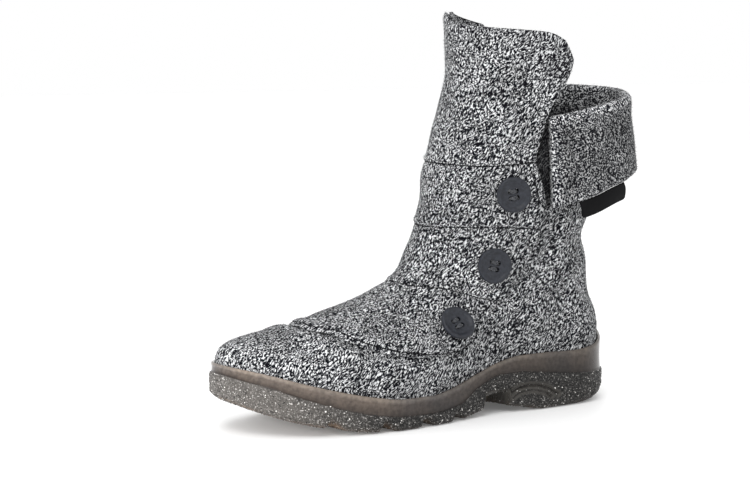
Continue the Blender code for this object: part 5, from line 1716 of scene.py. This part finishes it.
# More painted light on the grit: brighter, and mixed towards plain grey, towards the toe.
painted_toe_light = ramp(tree, to_back, ((0.05, 1.60), (0.22, 1.25), (0.36, 0.62), (0.60, 0.64), (0.90, 0.54)))
painted_toe_grey = ramp(tree, to_back, ((0.10, 0.46), (0.30, 0.0)))
crumbs_with_painted_light = mixed(tree, painted_toe_grey, scaled(tree, crumb_colour, painted_toe_light), (0.175, 0.160, 0.146))
cup_colour = mixed(tree, grit_here, band_with_painted_light, crumbs_with_painted_light)
ribs = add_node(tree, "ShaderNodeTexWave", {"Vector": coords, "Scale": 95.0, "Distortion": 0.4},
                bands_direction="X")
ribbed = ramp(tree, ribs.outputs["Fac"], ((0.25, (0.10, 0.066, 0.040)), (0.75, (0.30, 0.215, 0.14))))
# Painted shade: the window groove's floor is near black at its mouth under the arch and ribbed amber further
# in.
past_mouth = add_node(tree, "ShaderNodeMapRange", {
    "Value": split.outputs["Y"], "From Min": -0.026, "From Max": -0.006})
inside = math_node(tree, "MULTIPLY", underside_and_rim_glow, past_mouth.outputs["Result"])
clear_colour = mixed(tree, inside, (0.046, 0.043, 0.038), ribbed)
whole = mixed(tree, attribute(tree, "clear"), cup_colour, clear_colour)
tree.links.new(whole, shader.inputs["Base Color"])
dull = math_node(tree, "ADD", math_node(tree, "MULTIPLY", grit_here, 0.35), 0.18)
tree.links.new(dull, shader.inputs["Roughness"])
bumped(tree, shader, math_node(tree, "MULTIPLY", crumb.outputs["Fac"], grit_here), 0.9, 0.0014)
sole.data.materials[0] = rubber
glint, tree, shader = new_material("rubber_grains", 0.35, Specular_IOR_Level=0.4)
spark = noise(tree, object_place(tree), 700.0, 1.0)
tree.links.new(ramp(tree, spark.outputs["Fac"], (
    (0.46, (0.010, 0.0095, 0.009)), (0.54, (0.045, 0.042, 0.039)), (0.61, (0.16, 0.15, 0.14)),
    (0.66, (0.80, 0.78, 0.75)))), shader.inputs["Base Color"])
print("rubber ready")

# %% Button, thread, tab and felt finishes
horn, tree, shader = new_material(
    "dark_slate_horn", 0.42, Specular_IOR_Level=0.30, Coat_Weight=0.06, Coat_Roughness=0.30)
coords = object_place(tree)
grain = noise(tree, coords, 500.0, 3.0, distortion=1.0)
tree.links.new(ramp(tree, grain.outputs["Fac"], (
    (0.3, (0.009, 0.010, 0.014)), (0.7, (0.022, 0.025, 0.033)))), shader.inputs["Base Color"])
fine = noise(tree, coords, 2600.0, 2.0).outputs["Fac"]
tree.links.new(ramp(tree, fine, ((0.3, 0.36), (0.7, 0.55))), shader.inputs["Roughness"])
bumped(tree, shader, fine, 0.2, 0.0002)
for button in buttons:
    button.data.materials[0] = horn


def woven_finish(name, dark, light, scale, roughness):
    """Plain cloth of crossed threads, from two crossed waves."""
    made, tree, shader = new_material(name, roughness, Specular_IOR_Level=0.15)
    coords = object_place(tree)
    warp = add_node(tree, "ShaderNodeTexWave", {"Vector": coords, "Scale": scale, "Distortion": 1.0},
                    bands_direction="X")
    weft = add_node(tree, "ShaderNodeTexWave", {"Vector": coords, "Scale": scale * 1.2, "Distortion": 1.0},
                    bands_direction="Z")
    weave = math_node(tree, "MULTIPLY", warp.outputs["Fac"], weft.outputs["Fac"])
    tree.links.new(ramp(tree, weave, ((0.1, dark), (0.8, light))), shader.inputs["Base Color"])
    bumped(tree, shader, weave, 0.5, 0.0002)
    return made


tab.data.materials[0] = woven_finish(
    "black_weave", (0.0015, 0.0015, 0.002), (0.006, 0.006, 0.007), 420.0, 0.85)
seam_finish = woven_finish("seam_thread", (0.001, 0.001, 0.002), (0.012, 0.012, 0.014), 900.0, 0.9)
# The slate thread is dark; the paler grey in its weave is a painted glint on the strands.
thread_and_glint_finish = woven_finish("slate_thread_painted_glints", (0.03, 0.032, 0.036), (0.22, 0.225, 0.24), 900.0, 0.8)
for thread in threads:
    thread.data.materials[0] = thread_and_glint_finish
felt, tree, shader = new_material("grey_felt", 0.97)
fuzz = noise(tree, object_place(tree), 600.0, 4.0, distortion=1.5).outputs["Fac"]
tree.links.new(ramp(tree, fuzz, (
    (0.35, (0.045, 0.046, 0.050)), (0.65, (0.15, 0.152, 0.158)))), shader.inputs["Base Color"])
bumped(tree, shader, fuzz, 0.5, 0.0005)
insole.data.materials[0] = felt
print("finishes:", len(bpy.data.materials))

# %% [markdown]
# ## What repeats
# Stitches, wool hairs and loose grains are one small shape set many times. Three Geometry Nodes trees place
# them: one along a line, one on a skin, one on rubber. Each tree names its inputs, the two that scatter have a
# fixed seed, and each result is kept as a plain mesh.


# %% Tree helpers
def open_tree(name, numbers):
    """New tree with a geometry input, named inputs of (name, kind) and a finish. Also its ends."""
    tree = bpy.data.node_groups.new(name, "GeometryNodeTree")
    tree.interface.new_socket("Geometry", in_out="INPUT", socket_type="NodeSocketGeometry")
    for label, kind in numbers:
        tree.interface.new_socket(label, in_out="INPUT", socket_type="NodeSocket" + kind)
    tree.interface.new_socket("Finish", in_out="INPUT", socket_type="NodeSocketMaterial")
    tree.interface.new_socket("Geometry", in_out="OUTPUT", socket_type="NodeSocketGeometry")
    return tree, tree.nodes.new("NodeGroupInput").outputs


def close_tree(tree, instances, given):
    """Ends a tree with realized instances in the given finish."""
    real = add_node(tree, "GeometryNodeRealizeInstances", {"Geometry": instances})
    dressed = add_node(tree, "GeometryNodeSetMaterial", {
        "Geometry": real.outputs["Geometry"], "Material": given["Finish"]})
    tree.links.new(dressed.outputs["Geometry"], tree.nodes.new("NodeGroupOutput").inputs["Geometry"])


def grown(name, source, tree, values):
    """Object whose plain mesh is what a tree makes from a source mesh."""
    carrier = bpy.data.objects.new(name, source)
    scene.collection.objects.link(carrier)
    step = carrier.modifiers.new("nodes", "NODES")
    step.node_group = tree
    for item in tree.interface.items_tree:
        if item.in_out == "INPUT" and item.name in values:
            step[item.identifier] = values[item.name]
    bpy.context.view_layer.update()
    mesh = bpy.data.meshes.new_from_object(carrier.evaluated_get(bpy.context.evaluated_depsgraph_get()))
    carrier.modifiers.remove(step)
    carrier.data = mesh
    return carrier


stitch_tree, given = open_tree("stitches", (("Pitch", "Float"), ("Length", "Float"), ("Thickness", "Float")))
curve = add_node(stitch_tree, "GeometryNodeMeshToCurve", {"Mesh": given["Geometry"]})
spaced = add_node(stitch_tree, "GeometryNodeResampleCurve", {
    "Curve": curve.outputs["Curve"], "Length": given["Pitch"]}, mode="LENGTH")
bead = add_node(stitch_tree, "GeometryNodeMeshUVSphere", {"Segments": 6, "Rings": 5, "Radius": 0.5})
size = add_node(stitch_tree, "ShaderNodeCombineXYZ", {
    "X": given["Thickness"], "Y": given["Thickness"], "Z": given["Length"]})
tangent = add_node(stitch_tree, "GeometryNodeInputTangent")
turned = add_node(stitch_tree, "FunctionNodeAlignRotationToVector", {
    "Vector": tangent.outputs["Tangent"]}, axis="Z")
beads = add_node(stitch_tree, "GeometryNodeInstanceOnPoints", {
    "Points": spaced.outputs["Curve"], "Instance": bead.outputs["Mesh"],
    "Rotation": turned.outputs["Rotation"], "Scale": size.outputs["Vector"]})
close_tree(stitch_tree, beads.outputs["Instances"], given)

HALF_TURN = 3.14
scatter_inputs = (("Density", "Float"), ("Seed", "Int"), ("Smallest", "Vector"), ("Largest", "Vector"),
                  ("Lean", "Float"))


def scatter_tree(name, mask, make_shape):
    """Tree that sets a shape on a skin at random, where the named attribute allows it."""
    tree, given = open_tree(name, scatter_inputs)
    allowed = add_node(tree, "GeometryNodeInputNamedAttribute", {"Name": mask}, data_type="FLOAT")
    density = math_node(tree, "MULTIPLY", given["Density"], allowed.outputs["Attribute"])
    spots = add_node(tree, "GeometryNodeDistributePointsOnFaces", {
        "Mesh": given["Geometry"], "Density": density, "Seed": given["Seed"]})
    most = add_node(tree, "ShaderNodeCombineXYZ", {"X": given["Lean"], "Y": given["Lean"], "Z": HALF_TURN})
    least = add_node(tree, "ShaderNodeVectorMath", {0: most.outputs["Vector"], 1: (-1.0, -1.0, -1.0)},
                     operation="MULTIPLY")
    lean = add_node(tree, "FunctionNodeRandomValue", {
        "Min": least.outputs["Vector"], "Max": most.outputs["Vector"], "Seed": given["Seed"]},
        data_type="FLOAT_VECTOR")
    turned = add_node(tree, "FunctionNodeRotateRotation", {
        "Rotation": spots.outputs["Rotation"], "Rotate By": lean.outputs["Value"]}, rotation_space="LOCAL")
    size = add_node(tree, "FunctionNodeRandomValue", {
        "Min": given["Smallest"], "Max": given["Largest"], "Seed": given["Seed"]}, data_type="FLOAT_VECTOR")
    shape = make_shape(tree)
    placed_shapes = add_node(tree, "GeometryNodeInstanceOnPoints", {
        "Points": spots.outputs["Points"], "Instance": shape, "Rotation": turned.outputs["Rotation"],
        "Scale": size.outputs["Value"]})
    close_tree(tree, placed_shapes.outputs["Instances"], given)
    return tree


def hair_shape(tree):
    """Cone of three sides, one unit long, with a foot of unit radius."""
    return add_node(tree, "GeometryNodeMeshCone", {
        "Vertices": 3, "Side Segments": 1, "Radius Top": 0.0, "Radius Bottom": 1.0, "Depth": 1.0},
        fill_type="NONE").outputs["Mesh"]


def grain_shape(tree):
    """Rough grain of twenty faces and unit radius."""
    return add_node(tree, "GeometryNodeMeshIcoSphere", {"Radius": 1.0, "Subdivisions": 1}).outputs["Mesh"]


hair_tree = scatter_tree("wool_hairs", "nap", hair_shape)
grain_tree = scatter_tree("loose_grains", "grains", grain_shape)
print("trees:", len(bpy.data.node_groups))


# %% Seam stitches
def line_across(field, value):
    """Points of the panel's outer skin where a field that grows up each column reaches a value."""
    found = []
    for c in range(field.shape[1]):
        column = field[:, c]
        if column.min() < value < column.max():
            r = int(np.argmax(column >= value))
            t = (value - column[r - 1]) / (column[r] - column[r - 1])
            found.append(panel_outer[r - 1, c] * (1 - t) + panel_outer[r, c] * t)
    return np.array(found)


def line_mesh(name, lines):
    """Mesh of loose edges along lines of points."""
    points = np.concatenate(lines)
    edges, start = [], 0
    for line in lines:
        edges += [(start + k, start + k + 1) for k in range(len(line) - 1)]
        start += len(line)
    mesh = bpy.data.meshes.new(name)
    mesh.from_pydata(points.tolist(), edges, [])
    return mesh


SEAM_INSET = 0.0030
SEAM_OVER_TUCK_MM = 0.1
FLAP_SEAM_INSET = 0.0055
FLAP_SEAM_START = 6
seam_lines = [line_across(tuck_distance(panel_middle, line), SEAM_OVER_TUCK_MM) for _, line in TUCKS]
seam_lines.append(line_across(from_seam, SEAM_INSET))
for edge in (0, -1):
    from_flap = np.linalg.norm(panel_middle - panel_middle[:, [edge]], axis=-1)
    order = slice(None) if edge == 0 else slice(None, None, -1)
    rows_here = np.arange(FLAP_SEAM_START, len(low_rows))[:, None]
    all_columns = np.arange(from_flap.shape[1])
    picked = [np.interp(FLAP_SEAM_INSET, from_flap[r, order], all_columns) for r in rows_here[:, 0]]
    columns = np.array(picked)[:, None]
    low = np.floor(columns).astype(int)
    skin = panel_outer[:, order]
    blend = (columns - low)[..., None]
    seam_lines.append((skin[rows_here, low] * (1 - blend) + skin[rows_here, low + 1] * blend)[:, 0])
stitches = grown("seam_stitches", line_mesh("seam_lines", seam_lines), stitch_tree, {
    "Pitch": 0.0024, "Length": 0.0025, "Thickness": 0.0010, "Finish": seam_finish})
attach(stitches, "root")
print("seam stitches, faces:", len(stitches.data.polygons))

# %% Wool hairs
HAIR_LEAST = (0.00004, 0.00004, 0.0006)
HAIR_MOST = (0.00007, 0.00007, 0.0018)
HAIR_LEAN = 1.1
NAP_PIECES = (
    # name, the knit it grows on, slot, finish, number of hairs, seed
    ("nap_of_upper", upper, "mottled_knit", wool, 90000, 11),
    ("nap_of_panel", panel, "panel_knit", wool_panel, 30000, 12),
)
nap_inner = np.concatenate([np.zeros(foot_outer[..., 0].size + strip_outer[..., 0].size), np.repeat(
    np.arange(back_outer.shape[0]) >= SHAFT_ROWS - 1, back_outer.shape[1])])
set_attribute(upper, "nap", np.concatenate([dark_outer < 0.1, nap_inner]))
set_attribute(panel, "nap", np.ones(len(panel.data.vertices)))
for name, dressed, slot_name, finish, count, seed in NAP_PIECES:
    mesh = dressed.data
    area = sum(face.area for face in mesh.polygons)
    hairs = grown(name, mesh.copy(), hair_tree, {
        "Density": count / area, "Seed": seed, "Smallest": HAIR_LEAST, "Largest": HAIR_MOST,
        "Lean": HAIR_LEAN, "Finish": finish})
    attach(hairs, "root")
    print(name, "faces:", len(hairs.data.polygons))

# %% Grains in the rubber
GRAIN_COUNT = 17000
GRAIN_SEED = 21
area = sum(face.area for face in sole.data.polygons)
grains = grown("grains_of_sole", sole.data.copy(), grain_tree, {
    "Density": GRAIN_COUNT / area, "Seed": GRAIN_SEED, "Smallest": (0.00022, 0.00022, 0.00016),
    "Largest": (0.00060, 0.00060, 0.00042), "Lean": 0.6, "Finish": glint})
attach(grains, "root")
print("grains, faces:", len(grains.data.polygons))

# %% Last lines
low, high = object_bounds()
print("visual box, mm:", [round(c * 1000, 1) for c in low], [round(c * 1000, 1) for c in high])
